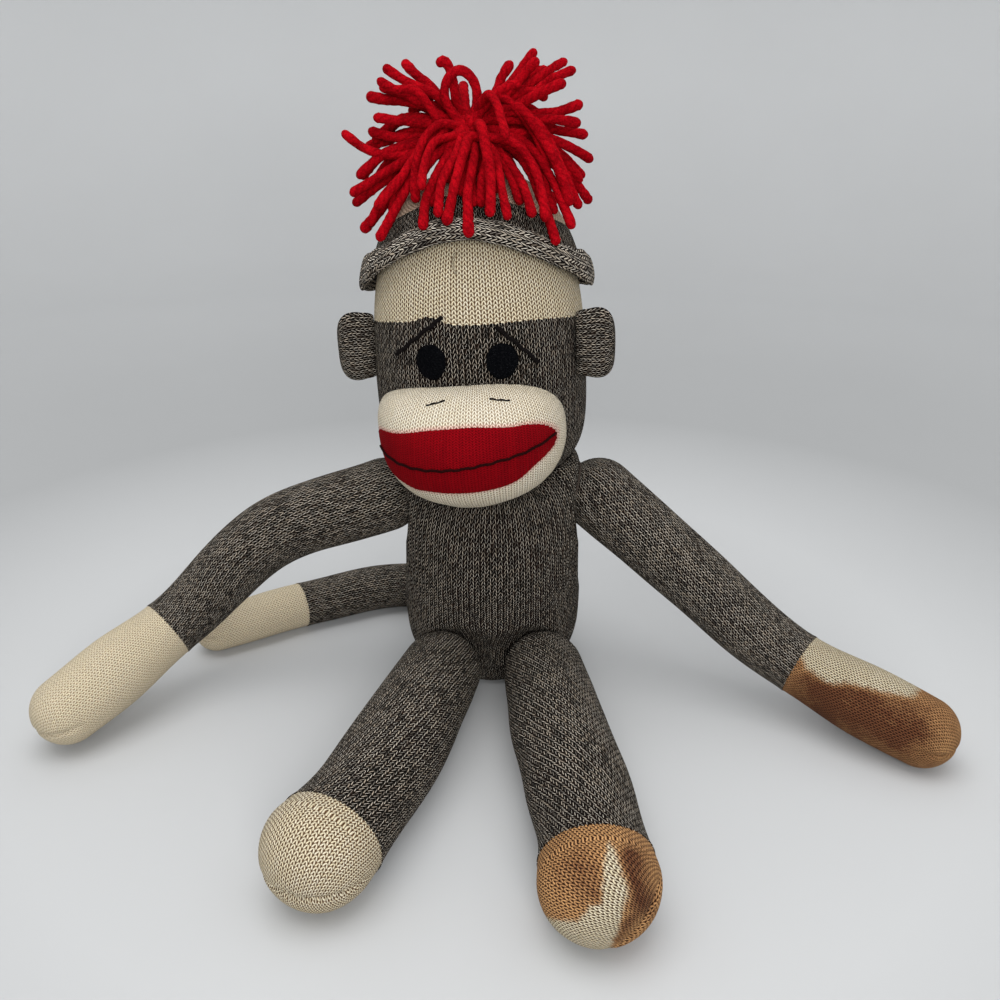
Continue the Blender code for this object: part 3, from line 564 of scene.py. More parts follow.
def marl_colour(fullness):
    """Two plies twisted, dark and cream: on most legs of a stitch the cream one shows as a slanted dash."""

    def colour(graph, stitches):
        first, second, third = (stitches.chance(seed) for seed in (1.0, 2.0, 6.0))
        swing = (stitches.along - 0.5) * (stitches.side * 1.2 - 0.35)
        away = abs(stitches.off - (swing + (first - 0.5) * 0.7))
        width = second * (fullness * 1.1) + fullness * 0.3
        across = graph.spread(away / width, 0.6, 1.3, 1.0, 0.0)
        dash = across * graph.spread(stitches.end, 0.65, 1.0, 1.0, 0.0)
        shows = graph.spread(third + graph.noise(60.0) * 0.4, 0.15, 0.75, 0.25, 1.0)
        pale = graph.mix(second, PALE_PLY, WORN_PLY)
        dark = graph.mix(first**3.0, DARK_PLY, BROWN_PLY)
        return graph.mix(dash * shows, dark, pale)

    return colour


def wool_colour(light=CREAM_YARN, shaded=1.0):
    """Pale wool, pink where a mark says so: run dye on the muzzle, and painted red bounce light from the
    pompom's yarn on the cap's crown.
    """

    def colour(graph, stitches):
        plain = graph.mix(stitches.chance(3.0) * shaded, light, CREAM_SHADE)
        cloud = graph.spread(graph.noise(38.0, 3.0), 0.35, 0.7, 0.0, 0.5 * shaded)
        aged = graph.mix(cloud, plain, CREAM_SHADE)
        # The pink mark is run dye on the muzzle and painted red bounce light on the cap's crown.
        return graph.mix(graph.mark("pink") * 0.8, aged, PINK_DYE_AND_BOUNCE)

    return colour


def stained_colour(graph, stitches):
    """Cream wool with a tan and brown stain that fades out from stitch to stitch; on the left foot the
    brown also paints shade along the toe seam.
    """
    plain = wool_colour()(graph, stitches)
    uneven = (stitches.chance(4.0) - 0.5) * 0.22 + (graph.noise(110.0, 3.0) - 0.5) * 0.7
    edge = graph.mark("stain") + uneven * 0.7
    tan = graph.mix(graph.spread(edge, 0.2, 0.8), plain, TAN_STAIN)
    deep = graph.mark("deep") + uneven
    return graph.mix(graph.spread(deep, 0.1, 0.95, smooth=False), tan, BROWN_STAIN_AND_SEAM_SHADE)


def red_colour(graph, stitches):
    streak = graph.random(stitches.column, 0.0, 5.0)
    shade = graph.math("ADD", streak * 0.35, graph.noise(120.0) * 0.6, clamp=True)
    return graph.mix(shade, RED_KNIT, RED_SHADE)


def yarn_look():
    """Soft plied yarn: four plies run aslant round it, with fibres along each. Its colour is a little
    darker in the grooves between the plies, as painted shade, and varies more with random fibre tone.
    """
    graph = Graph("red_yarn")
    wale, course = graph.stitch_map()
    ply = graph.math("PINGPONG", (wale + course) * 4.0, 0.5)
    level = graph.math("SQRT", ply * 2.0) * 0.18 + graph.noise(1500.0, 4.0) * 0.9
    tone = level + (graph.noise(160.0) - 0.5) * 0.7
    # Painted shade in the ply grooves, mixed with random fibre tone.
    colour = graph.mix(graph.spread(tone, 0.3, 1.0), YARN_SHADE, RED_YARN)
    graph.bump(level, 0.0008)
    return graph.finish(colour, 0.95, 0.05, (1.0, 0.05, 0.05), specular=0.02)


def felt_look():
    graph = Graph("black_felt")
    lint = graph.noise(1600.0, 4.0)
    colour = graph.mix(graph.spread(lint, 0.4, 0.8), FELT_SHADE, BLACK_FELT)
    graph.bump(lint, 0.0004)
    return graph.finish(colour, 0.98, 0.0, (0.6, 0.6, 0.65), specular=0.02)


def thread_look(name, low, high):
    """Twisted thread: fine ply lines run aslant round it, painted darker as shade in the grooves between
    the plies, with some random fibre tone.
    """
    graph = Graph(name)
    wale, course = graph.stitch_map()
    level = graph.math("PINGPONG", wale * 3.0 + course, 0.5) + graph.noise(2200.0, 3.0) * 0.6
    # Painted shade: darker in the grooves between the plies.
    colour = graph.mix(graph.spread(level, 0.1, 0.8), low, high)
    graph.bump(level, 0.0003)
    return graph.finish(colour, 0.9, 0.0, (0.6, 0.55, 0.5), specular=0.04)


def sweep_look():
    graph = Graph("pale_sweep")
    # The tone mark is painted light and shade; the noise adds only a faint random unevenness.
    tone = graph.mark("tone") * graph.spread(graph.noise(3.0), 0.2, 0.8, 0.985, 1.015)
    colour = graph.mix(tone, (0, 0, 0), (0.985, 0.995, 1.0))
    return graph.finish(colour, 0.8, 0.0, (1.0, 1.0, 1.0))


# Mesh making

def turned(count):
    """Angles round a form."""
    return np.arange(count) * 2 * math.pi / count


def unit(aims):
    """The same directions with length 1."""
    return aims / np.maximum(np.linalg.norm(aims, axis=-1, keepdims=True), TINY)


def saw(size, count):
    """An offset that changes sign from stitch to stitch along a border."""
    return size * (-1.0) ** np.arange(count)


def ring_stitches(wales, run):
    """The stitch rule of a form of rings: run is the way along its fabric to each of them."""
    return lambda row, turn, middle: (turn / (2 * math.pi) * wales, run[row] / COURSE)


def skin(name, points, stitch, look, marks=None, sharp=None):
    """A closed skin over rows of points that run round a form; a pole is a row of one repeated point.

    stitch(row, turn, middle) gives the wale and the course at a corner of a face whose own middle
    lies at the angle middle, so that two halves of a form can meet along a seam."""
    rows, columns = points.shape[:2]
    step = 2 * math.pi / columns
    low, column = np.meshgrid(np.arange(rows - 1), np.arange(columns), indexing="ij")
    row_at = (low[..., None] + np.array([0, 0, 1, 1])).reshape(-1, 4)
    column_at = (column[..., None] + np.array([0, 1, 1, 0])).reshape(-1, 4)
    corners = row_at * columns + column_at % columns
    mesh = bpy.data.meshes.new(name)
    mesh.from_pydata(points.reshape(-1, 3).tolist(), [], corners.tolist())
    middle = (column.reshape(-1, 1) + 0.5) * step * np.ones((1, 4))
    wale, course = stitch(row_at, column_at * step, middle)
    layer = mesh.uv_layers.new(name="stitches")
    layer.data.foreach_set("uv", np.stack([wale, course], -1).astype(np.float32).ravel())
    for mark, values in (marks or {}).items():
        attribute = mesh.attributes.new(mark, "FLOAT", "POINT")
        attribute.data.foreach_set("value", values.astype(np.float32).ravel())
    work = bmesh.new()
    work.from_mesh(mesh)
    bmesh.ops.remove_doubles(work, verts=work.verts, dist=TINY)
    bmesh.ops.recalc_face_normals(work, faces=work.faces)
    work.to_mesh(mesh)
    work.free()
    mesh.shade_smooth()
    if sharp:
        mesh.set_sharp_from_angle(angle=sharp)
    mesh.materials.append(look)
    made = bpy.data.objects.new(name, mesh)
    bpy.context.scene.collection.objects.link(made)
    return made


def joined(name, parts):
    """One object from several."""
    work = bmesh.new()
    for part in parts:
        work.from_mesh(part.data)
    mesh = parts[0].data.copy()
    work.to_mesh(mesh)
    work.free()
    mesh.shade_smooth()
    for part in parts:
        bpy.data.objects.remove(part)
    made = bpy.data.objects.new(name, mesh)
    bpy.context.scene.collection.objects.link(made)
    return made


def dress(piece, body, nodes=()):
    """Attaches a finished piece to the body it rides on, or only bakes its transform where it is given
    several bodies, and hides the imported parts it stands for.
    """
    if isinstance(body, str):
        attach(piece, body)
    else:
        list(body)
        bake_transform(piece)
    if nodes:
        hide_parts(*nodes)
    return piece


def lumps(points, size, seed):
    """A smooth unevenness from -1 to 1 at each point, of about this size from one swell to the next."""
    chance = np.random.default_rng(seed)
    total = np.zeros(points.shape[:-1])
    for _ in range(LUMP_WAVES):
        aim = chance.normal(size=3)
        aim /= np.linalg.norm(aim)
        pace = 2 * math.pi / size * (0.7 + 0.6 * chance.random())
        total += np.sin(points @ aim * pace + chance.random() * 2 * math.pi)
    return total / LUMP_WAVES


def on_floor(points):
    """Presses what would go under the floor flat on it, with a soft turn at its rim."""
    z = points[..., 2]
    soft = (z + FLOOR_FILLET) ** 2 / (4 * FLOOR_FILLET)
    points[..., 2] = np.where(z > FLOOR_FILLET, z, np.where(z < -FLOOR_FILLET, 0, soft))
    return points


def spline(points, steps):
    """A smooth curve through the points, with this many steps in each span."""
    points = np.asarray(points, float)
    ends = np.vstack([points[0] * 2 - points[1], points, points[-1] * 2 - points[-2]])
    t = (np.arange(steps) / steps)[:, None]
    found = []
    for a, b, c, d in zip(ends, ends[1:], ends[2:], ends[3:]):
        curved = (a * 2 - b * 5 + c * 4 - d) * t**2 + (b * 3 - a - c * 3 + d) * t**3
        found.append((b * 2 + (c - a) * t + curved) / 2)
    return np.vstack([*found, points[-1:]])


class Route:
    """A smooth line that is read by distance."""

    def __init__(self, points, steps=24):
        self.points = spline(points, steps)
        self.reach = np.append(0, np.cumsum(np.linalg.norm(np.diff(self.points, axis=0), axis=1)))
        self.length = self.reach[-1]

    def spot(self, distance):
        return np.stack([np.interp(distance, self.reach, self.points[:, i]) for i in range(3)], -1)

    def at(self, distance):
        distance = np.asarray(distance, float)
        within = np.clip(distance, 0, self.length)
        return self.spot(within) + self.heading(within) * (distance - within)[..., None]

    def heading(self, distance):
        step = self.length / 100
        ahead = self.spot(np.clip(distance + step, 0, self.length))
        return unit(ahead - self.spot(np.clip(distance - step, 0, self.length)))


class Girth:
    """Reads a table of (share, value) rows along a smooth curve through them."""

    def __init__(self, table):
        self.curve = spline(table, 12)

    def __call__(self, share):
        return np.interp(share, self.curve[:, 0], self.curve[:, 1])


# Torso and head forms

class Barrel:
    """An upright stuffed form: elliptical rings whose size follows a superellipse above and below."""

    def __init__(self, width, depth, rise, drop, middle, power, low_power=None):
        self.width = width / 2
        self.depth = depth / 2
        self.rise = rise
        self.drop = drop
        self.middle = middle
        self.power = power
        self.low_power = low_power or power

    def grown(self, by):
        return Barrel(
            (self.width + by) * 2, (self.depth + by) * 2, self.rise + by, self.drop + by,
            self.middle, self.power, self.low_power,
        )

    def half(self, above):
        return np.where(above, self.rise, self.drop), np.where(above, self.power, self.low_power)

    def share(self, z):
        size, power = self.half(z > self.middle)
        off = np.clip(np.abs(z - self.middle) / size, 0, 1)
        return (1 - off**power) ** (1 / power)

    def height(self, level):
        size, power = self.half(level > 0)
        return self.middle + size * np.sign(level) * np.abs(np.sin(level)) ** (2 / power)

    def level(self, z):
        size, power = self.half(z > self.middle)
        off = np.clip((z - self.middle) / size, -1, 1)
        return np.arcsin(np.sign(off) * np.abs(off) ** (power / 2))

    def at(self, turn, z):
        share = self.share(z)
        x, y = self.width * share * np.cos(turn), self.depth * share * np.sin(turn)
        return np.stack([x, y, z + 0 * turn], -1)

    def front(self, x, z):
        share = np.maximum(self.share(z), FACE_SHARE)
        off = np.clip(np.abs(x) / (self.width * share), 0, 1)
        return -self.depth * share * np.sqrt(1 - off * off)


torso_form = Barrel(
    TORSO_WIDTH, TORSO_DEPTH, TORSO_HEIGHT * (1 - TORSO_MIDDLE_SHARE),
    TORSO_HEIGHT * TORSO_MIDDLE_SHARE, TORSO_HEIGHT * TORSO_MIDDLE_SHARE, TORSO_POWER,
)
head_form = Barrel(HEAD_WIDTH, HEAD_DEPTH, HEAD_RISE, HEAD_DROP, HEAD_MIDDLE, HEAD_POWER, JAW_POWER)
head_pose = Euler((0, HEAD_LEAN, HEAD_TURN)).to_matrix().to_4x4()
head_place = Matrix.Translation(JOINT_AT["neck_turn"]) @ head_pose
head_turn = np.array(head_place.to_3x3())
head_start = np.array(head_place.translation)


def from_head(points):
    """Points of the head's own frame, in the world."""
    return points @ head_turn.T + head_start


def to_head(points):
    """Points of the world, in the head's own frame."""
    return (points - head_start) @ head_turn


def settle(points, centre, axis, radius, tilt):
    """Pushes a skin out of a ball and of the cone in which what grows from it swings."""
    axis = np.array(axis)
    away = points - np.array(centre)
    along = away @ axis
    out = away - along[..., None] * axis
    wide = np.maximum(np.linalg.norm(out, axis=-1), TINY)
    out /= wide[..., None]
    on_cone = wide * math.sin(tilt) + along * math.cos(tilt) > 0
    reach = np.maximum(np.linalg.norm(away, axis=-1), TINY)
    clear = np.where(on_cone, wide * math.cos(tilt) - along * math.sin(tilt), reach) - radius - SEAT_GAP
    soft = (SEAT_FILLET - clear) ** 2 / (4 * SEAT_FILLET)
    push = np.where(clear > SEAT_FILLET, 0, np.where(clear < -SEAT_FILLET, -clear, soft))
    off_cone = out * math.cos(tilt) - axis * math.sin(tilt)
    return points + np.where(on_cone[..., None], off_cone, away / reach[..., None]) * push[..., None]


def run_length(points):
    """Mean distance along the columns from the first row to each row."""
    steps = np.linalg.norm(np.diff(points, axis=0), axis=-1).mean(axis=1)
    return np.append(0, np.cumsum(steps))


def shoulder(side):
    name = "left" if side > 0 else "right"
    axis = Vector((side * math.cos(SHOULDER_SLOPE), 0, -math.sin(SHOULDER_SLOPE)))
    return JOINT_AT[f"shoulder_{name}_swing"], axis


def square_shoulders(points, turn, level):
    """The torso's top at its sides stands fuller and higher than at its front, up to the sewn-in arms."""
    size = TORSO_HEIGHT * (1 - TORSO_MIDDLE_SHARE)
    full = Barrel(TORSO_WIDTH, TORSO_DEPTH, size + SHOULDER_RISE, size, torso_form.middle, SHOULDER_POWER)
    raised = full.at(turn[None, :], full.height(np.maximum(level, 0))[:, None])
    side = (np.abs(np.cos(turn)) ** SHOULDER_NARROWNESS)[None, :, None] * (level > 0)[:, None, None]
    return points + (raised - points) * side


def under_head(points):
    """Keeps the torso's top clear of the jaw."""
    local = to_head(points)
    jaw = head_form.grown(JAW_GAP)
    reach = np.minimum(np.hypot(local[..., 0] / jaw.width, local[..., 1] / jaw.depth), 1)
    limit = jaw.middle - jaw.drop * (1 - reach**jaw.low_power) ** (1 / jaw.low_power)
    local[..., 2] = np.where(local[..., 2] > limit, limit, local[..., 2])
    return from_head(local)


def clear_of_muzzle(points):
    """Lowers what the muzzle would meet as the head turns to its limits."""
    for degrees in np.linspace(*NECK_TURNS, 5):
        spin = np.array(Matrix.Rotation(math.radians(degrees), 3, "Z") @ head_place.to_3x3())
        local = (points - head_start) @ spin
        for _ in range(40):
            x, y, z = local[..., 0], local[..., 1], local[..., 2]
            ahead = (y > muzzle_front(x, z, MUZZLE_GAP)) & (y < 0)
            within = ahead & (muzzle_share(x, z, MUZZLE_GAP) < 1)
            if not within.any():
                break
            local[..., 2] -= MUZZLE_STEP * within
        points = local @ spin.T + head_start
    return points


def make_torso():
    turn = turned(160)
    level = np.linspace(-math.pi / 2, math.pi / 2, 78)
    height = torso_form.height(level)
    points = square_shoulders(torso_form.at(turn[None, :], height[:, None]), turn, level)
    run = run_length(points)
    out = unit(points * np.array([1, 1, 0]))
    swell = lumps(points, BROAD_LUMP, 3) * LUMP_HEIGHT + lumps(points, FINE_LUMP, 4) * LUMP_HEIGHT * 0.35
    above = height - TORSO_HEIGHT * (1 - GATHER_SHARE)
    gather = np.clip(above / (TORSO_HEIGHT * GATHER_SHARE), 0, 1) ** 2
    pleats = np.sin(turn * NECK_PLEATS + 0.8 * np.sin(turn * 5)) * PLEAT_DEPTH
    points += out * (swell + gather[:, None] * pleats[None, :])[..., None]
    points = clear_of_muzzle(under_head(points))
    points = settle(points, JOINT_AT["neck_turn"], UP, NECK_RADIUS, NECK_TILT)
    for side in (1, -1):
        points = settle(points, *shoulder(side), ARM_ROOT, SHOULDER_TILT)
    for name in ("hip_left", "hip_right"):
        axis = Vector((0, -math.cos(HIP_SLOPE), -math.sin(HIP_SLOPE)))
        points = settle(points, JOINT_AT[name], axis, LEG_ROOT, HIP_TILT)
    points = on_floor(settle(points, JOINT_AT["tail_wag"], Vector((0, 1, 0)), TAIL_ROOT, TAIL_TILT))
    points[0] = points[0].mean(axis=0)
    points[-1] = points[-1].mean(axis=0)
    wales = round(math.pi * (TORSO_WIDTH + TORSO_DEPTH) / 2 / WALE)
    made = skin("torso_skin", points, ring_stitches(wales, run), sparse_marl_with_shade)
    dress(made, "torso", ["torso"])


def forehead_height(turn):
    """The wavy line, raised over the face, where marl meets the cream top of the head."""
    pull = np.exp(-(((turn - FOREHEAD_PULL_TURN) / FOREHEAD_PULL_WIDTH) ** 2))
    line = FOREHEAD_RISE - FOREHEAD_TILT * np.sin(turn)
    return line + FOREHEAD_WAVE * np.sin(5 * turn) + FOREHEAD_PULL * pull


def head_at(turn, z):
    """The head's outline: the barrel, or the neck's dome where that is wider."""
    points = head_form.at(turn, z)
    wide = np.linalg.norm(points[..., :2], axis=-1)
    dome = np.sqrt(np.maximum(NECK_RADIUS**2 - z * z, 0)) * (z < 0)
    on_dome = np.stack([dome * np.cos(turn), dome * np.sin(turn), z + 0 * turn], -1)
    return np.where((wide < dome)[..., None], on_dome, points)


def head_lumps(points):
    out = unit(points - np.array([0, 0, HEAD_MIDDLE]))
    rise = np.clip((points[..., 2] - NECK_RADIUS * 0.1) / 0.03, 0, 1)
    return points + out * (lumps(points, HEAD_LUMP, 11) * LUMP_HEIGHT * rise)[..., None]


def make_head():
    turn = turned(HEAD_COLUMNS)[None, :]
    forehead = forehead_height(turn)
    dome = -NECK_RADIUS * np.cos(np.linspace(0, NECK_DOME, 16))[:, None]
    start = dome[-1, 0]
    share = np.linspace(0, 1, 64)[1:, None]
    height = np.vstack([dome + 0 * turn, start + (forehead - start) * share])
    face = head_lumps(head_at(turn, height))
    run = run_length(face)
    run = np.append(run - run[-1], 0)
    centre = np.tile(np.array([0, 0, FOREHEAD_RISE]), (1, HEAD_COLUMNS, 1))
    tooth = saw(FOREHEAD_TOOTH, HEAD_COLUMNS)
    face[-1, :, 2] += tooth
    points = from_head(np.concatenate([face, centre]))
    made = skin("head_face_skin", points, ring_stitches(HEAD_WALES, run), sparse_marl_with_shade, sharp=EDGE)
    dress(made, "head", ["head_face"])

    low = head_form.level(forehead)
    share = np.linspace(0, 1, 52)[:, None]
    height = head_form.height(low + (math.pi / 2 - low) * share)
    top = head_lumps(head_at(turn, height))
    top[0, :, 2] += tooth
    run = np.append(0, run_length(top))
    points = from_head(np.concatenate([centre, top]))
    made = skin("head_top_skin", points, ring_stitches(HEAD_WALES, run), cream, sharp=EDGE)
    loose = stitch_line("loose_end", LOOSE_END, on_face, LOOSE_THREAD, LOOSE_STITCH, cream, sink=0.1)
    dress(joined("head_top_skin", [made, loose]), "head", ["head_top"])


# Muzzle, mouth and face

def rounded(share, power):
    """How high a pad stands at a share of the way to its rim."""
    return np.sqrt(np.maximum(1 - share * share, 0)) ** (2 / power)


def face_ahead(x, z, out):
    return head_form.grown(PAD_GAP).front(x, z) - out


def muzzle_power(across, up):
    """How square the muzzle's outline is: most at its upper corner on the doll's right."""
    upper = np.where(across > 0, MUZZLE_LEFT_POWER, MUZZLE_RIGHT_POWER)
    return np.where(up > 0, upper, MUZZLE_POWER)


def muzzle_share(x, z, out=0.0):
    """How far towards the muzzle's rim a spot of the face lies."""
    c, s = math.cos(MUZZLE_TILT), math.sin(MUZZLE_TILT)
    x, z = x - MUZZLE_SHIFT, z - MUZZLE_HEIGHT
    across, up = x * c + z * s, z * c - x * s
    power = muzzle_power(across, up)
    height = np.where(up > 0, MUZZLE_TOP, MUZZLE_BOTTOM) + out
    width = MUZZLE_WIDTH / 2 + out
    off = np.abs(across / width) ** power + np.abs(up / height) ** power
    return np.minimum(off ** (1 / power), 1)


def muzzle_front(x, z, out):
    """The y of a skin that lies this far out of the muzzle."""
    share = muzzle_share(x, z, out)
    return face_ahead(x, z, 0) - (MUZZLE_BULGE + out) * rounded(share, MUZZLE_ROUND)


def on_face(x, z, out):
    return head_form.grown(out).front(x, z)


def from_muzzle(across, up):
    """Turns places measured from the muzzle's middle along its tilt into the face's x and z."""
    c, s = math.cos(MUZZLE_TILT), math.sin(MUZZLE_TILT)
    return across * c - up * s + MUZZLE_SHIFT, across * s + up * c + MUZZLE_HEIGHT


def oval(turn, half_width, up, down, middle=0.0, power=2.0):
    across = half_width * np.sign(np.cos(turn)) * np.abs(np.cos(turn)) ** (2 / power)
    rise = np.sign(np.sin(turn)) * np.abs(np.sin(turn)) ** (2 / power)
    return across, middle + np.where(np.sin(turn) > 0, up, down) * rise


def fabric_run():
    """Distance over the muzzle's crown against distance across it, as a table by share."""
    share = np.linspace(0, 1, 200)
    radius = (MUZZLE_WIDTH + MUZZLE_TOP + MUZZLE_BOTTOM) / 4
    across, out = share * radius, MUZZLE_BULGE * rounded(share, MUZZLE_ROUND)
    run = np.append(0, np.cumsum(np.hypot(np.diff(across), np.diff(out))))
    return share, np.append(1, run[1:] / across[1:])


def pad_stitches(points, wale_size, course_size):
    """The stitch rule of a pad on the muzzle, as the fabric runs over its crown."""
    x, z = points[..., 0], points[..., 2]
    stretch = np.interp(muzzle_share(x, z), *fabric_run())
    wale = (x - MUZZLE_SHIFT) * stretch / wale_size + 500
    course = (z - MUZZLE_HEIGHT) * stretch / course_size + 500
    wale, course = (np.hstack([a, a[:, :1]]) for a in (wale, course))
    step = points.shape[1] / (2 * math.pi)

    def rule(row, turn, middle):
        column = np.rint(turn * step).astype(int)
        return wale[row, column], course[row, column]

    return rule


def make_muzzle():
    turn = turned(160)
    share = np.sin(np.linspace(0, math.pi / 2, 40))
    power = muzzle_power(np.cos(turn), np.sin(turn))
    rim_x, rim_z = from_muzzle(*oval(turn, MUZZLE_WIDTH / 2, MUZZLE_TOP, MUZZLE_BOTTOM, power=power))
    mid_x, mid_z = from_muzzle(0.0, 0.0)

    def spots(share, front):
        x = mid_x + (rim_x - mid_x)[None, :] * share[:, None]
        z = mid_z + (rim_z - mid_z)[None, :] * share[:, None]
        return np.stack([x, front(x, z, 0), z], -1)

    face = spots(share, muzzle_front)
    tucked = np.clip((share - 0.90) / 0.10, 0, 1)[:, None] * np.sin(turn * MUZZLE_TUCKS)[None, :]
    face[..., 1] += tucked * TUCK_DEPTH + lumps(face, MUZZLE_LUMP, 21) * 0.0004 * (1 - share[:, None] ** 8)
    back = spots(share[-2::-3], face_ahead)
    back[-1] = back[-1].mean(axis=0)
    points = np.concatenate([face, back])
    near = np.full(points.shape[:2], 1.0)
    for x, z in zip(*patch_rim(360, 1.0)):
        near = np.minimum(near, np.hypot(points[..., 0] - x, points[..., 2] - z))
    pink = np.clip(1 - near / RUN_DYE_REACH, 0, 1)
    rule = pad_stitches(points, MUZZLE_WALE, MUZZLE_COURSE)
    made = skin("muzzle_skin", from_head(points), rule, brushed, {"pink": pink})
    dress(made, "head", ["muzzle"])


def patch_rim(count, share):
    """The mouth patch's edge at this many even turns, drawn in to a share of its size."""
    middle = np.array(PATCH_MIDDLE)
    rim = Route([(x, 0, z) for x, z in PATCH_RIM + PATCH_RIM[:1]])
    spots = rim.at(np.arange(count) / count * rim.length)[:, (0, 2)] - middle
    return (middle + spots * np.reshape(share, (-1, 1))).T


def make_patch():
    columns = 168
    share = np.sin(np.linspace(0, math.pi / 2, 30))
    tooth = 1 + saw(PATCH_TOOTH, columns)

    def layer(share, out_of):
        rows = []
        for s in share:
            x, z = patch_rim(columns, s * tooth if s > 0.99 else s)
            rows.append(np.stack([x, muzzle_front(x, z, out_of(s)), z], -1))
        return np.array(rows)

    top = layer(share, lambda s: PATCH_LIFT + PATCH_THICKNESS * rounded(s, 6))
    under = layer(share[-2::-3], lambda s: PATCH_LIFT)
    under[-1] = under[-1].mean(axis=0)
    points = np.concatenate([top, under])
    made = skin("mouth_patch_skin", from_head(points), pad_stitches(points, FINE_WALE, FINE_COURSE), red)
    dress(made, "head", ["mouth_patch"])


def tube(name, points, radii, look, sides=8, lobes=0, twist=0.0, lobe_depth=0.0):
    """A round length along points, closed to a dome at both ends; lobes give it twisted plies."""
    points = np.asarray(points, float)
    away = np.gradient(points, axis=0)
    away /= np.linalg.norm(away, axis=1, keepdims=True)
    across = np.cross(away[0], np.array([0.3, 0.5, 0.8]))
    rows, run = [], 0.0
    turn = turned(sides)
    runs = []
    for i, (point, along, radius) in enumerate(zip(points, away, radii)):
        across = across - along * (across @ along)
        across /= np.linalg.norm(across)
        up = np.cross(along, across)
        if i:
            run += np.linalg.norm(points[i] - points[i - 1])
        wide = radius * (1 + lobe_depth * np.cos(lobes * turn + run * twist))
        rows.append(point + wide[:, None] * (np.cos(turn)[:, None] * across + np.sin(turn)[:, None] * up))
        runs.append(run)
    rows[0][:] = rows[0].mean(axis=0)
    rows[-1][:] = rows[-1].mean(axis=0)
    runs = np.array(runs)
    return skin(
        name, np.array(rows),
        lambda r, t, m: (t / (2 * math.pi) * lobes, runs[r] * twist / (2 * math.pi) * 0.999), look,
    )


def stitch_line(name, spots, under, thickness, length, look, sink=0.35):
    """A row of short stitches along (x, z) spots of a surface; each dips in at both ends."""
    route = Route([(x, 0, z) for x, z in spots])
    count = max(1, round(route.length / length))
    parts = []
    for i in range(count):
        reach = np.linspace(i - 0.12, i + 1.12, 13) * route.length / count
        reach = np.clip(reach, 0, route.length)
        share = np.linspace(0, 1, 13)
        flat = route.at(reach)
        out = thickness * (0.5 - sink * np.abs(2 * share - 1) ** 4 - 0.08 * (i % 2))
        y = under(flat[:, 0], flat[:, 2], 0) - out
        flat[:, 2] += thickness * 0.18 * (-1) ** i * np.sin(math.pi * share)
        line = np.stack([flat[:, 0], y, flat[:, 2]], -1)
        radii = thickness / 2 * np.minimum(1, 0.45 + 2.2 * np.sin(math.pi * np.clip(share, 0.02, 0.98)))
        keep = np.append(True, np.linalg.norm(np.diff(line, axis=0), axis=1) > TINY)
        parts.append(tube(f"{name}_{i}", from_head(line[keep]), radii[keep], look, 8, 3, 2500, 0.1))
    return joined(name, parts)


def arc(start, end, rise, count=9):
    share = np.linspace(0, 1, count)
    x = start[0] + (end[0] - start[0]) * share
    z = start[1] + (end[1] - start[1]) * share + rise * np.sin(math.pi * share)
    return list(zip(x, z))


def make_eye(name, side):
    """A felt disc, cut by hand, laid on the face."""
    columns = 64
    turn = turned(columns)
    uneven = 1 + 0.014 * np.sin(3 * turn + side) + 0.010 * np.sin(7 * turn + 2 * side)
    across, up = oval(turn, EYE_WIDTH / 2, EYE_HEIGHT / 2, EYE_HEIGHT / 2)
    mid_x = FACE_SHIFT + side * EYE_SPACING / 2

    def ring(share, cut, out):
        x, z = mid_x + across * cut * share, EYE_RISE + up * cut * share
        return np.stack([x, on_face(x, z, EYE_LIFT + out), z], -1)

    crown = np.sin(np.linspace(0, math.pi / 2, 14))
    rows = [ring(share, uneven, EYE_THICKNESS * rounded(share, 7)) for share in crown]
    rows += [ring(share, 1, 0) for share in (0.7, 0.35)]
    rows.append(np.tile(rows[-1].mean(axis=0), (columns, 1)))
    rows[0][:] = rows[0].mean(axis=0)
    made = skin(f"eye_{name}_felt", from_head(np.array(rows)), lambda r, t, m: (t, r * 1.0), felt)
    dress(made, "head", [f"eye_{name}"])


def on_patch(x, z, out):
    return muzzle_front(x, z, PATCH_LIFT + PATCH_THICKNESS)


def sew(node, *line):
    dress(stitch_line(f"{node}_stitches", *line), "head", [node])


def make_face():
    for side, name, brow, nostril in (
        (1, "left", LEFT_BROW, LEFT_NOSTRIL), (-1, "right", RIGHT_BROW, RIGHT_NOSTRIL),
    ):
        make_eye(name, side)
        sew(f"eyebrow_{name}", arc(*brow, BROW_ARCH), on_face, BROW_THREAD, BROW_STITCH, dark)
        sew(f"nostril_{name}", arc(*nostril, 0), muzzle_front, NOSTRIL_THREAD, NOSTRIL_STITCH, dark)
    sew("mouth_line", MOUTH_SPOTS, on_patch, MOUTH_THREAD, MOUTH_STITCH, mouth)


def ear_ring(turn, x, half_height, half_thickness):
    return np.stack([x + 0 * turn, half_thickness * np.cos(turn), half_height * np.sin(turn)], -1)


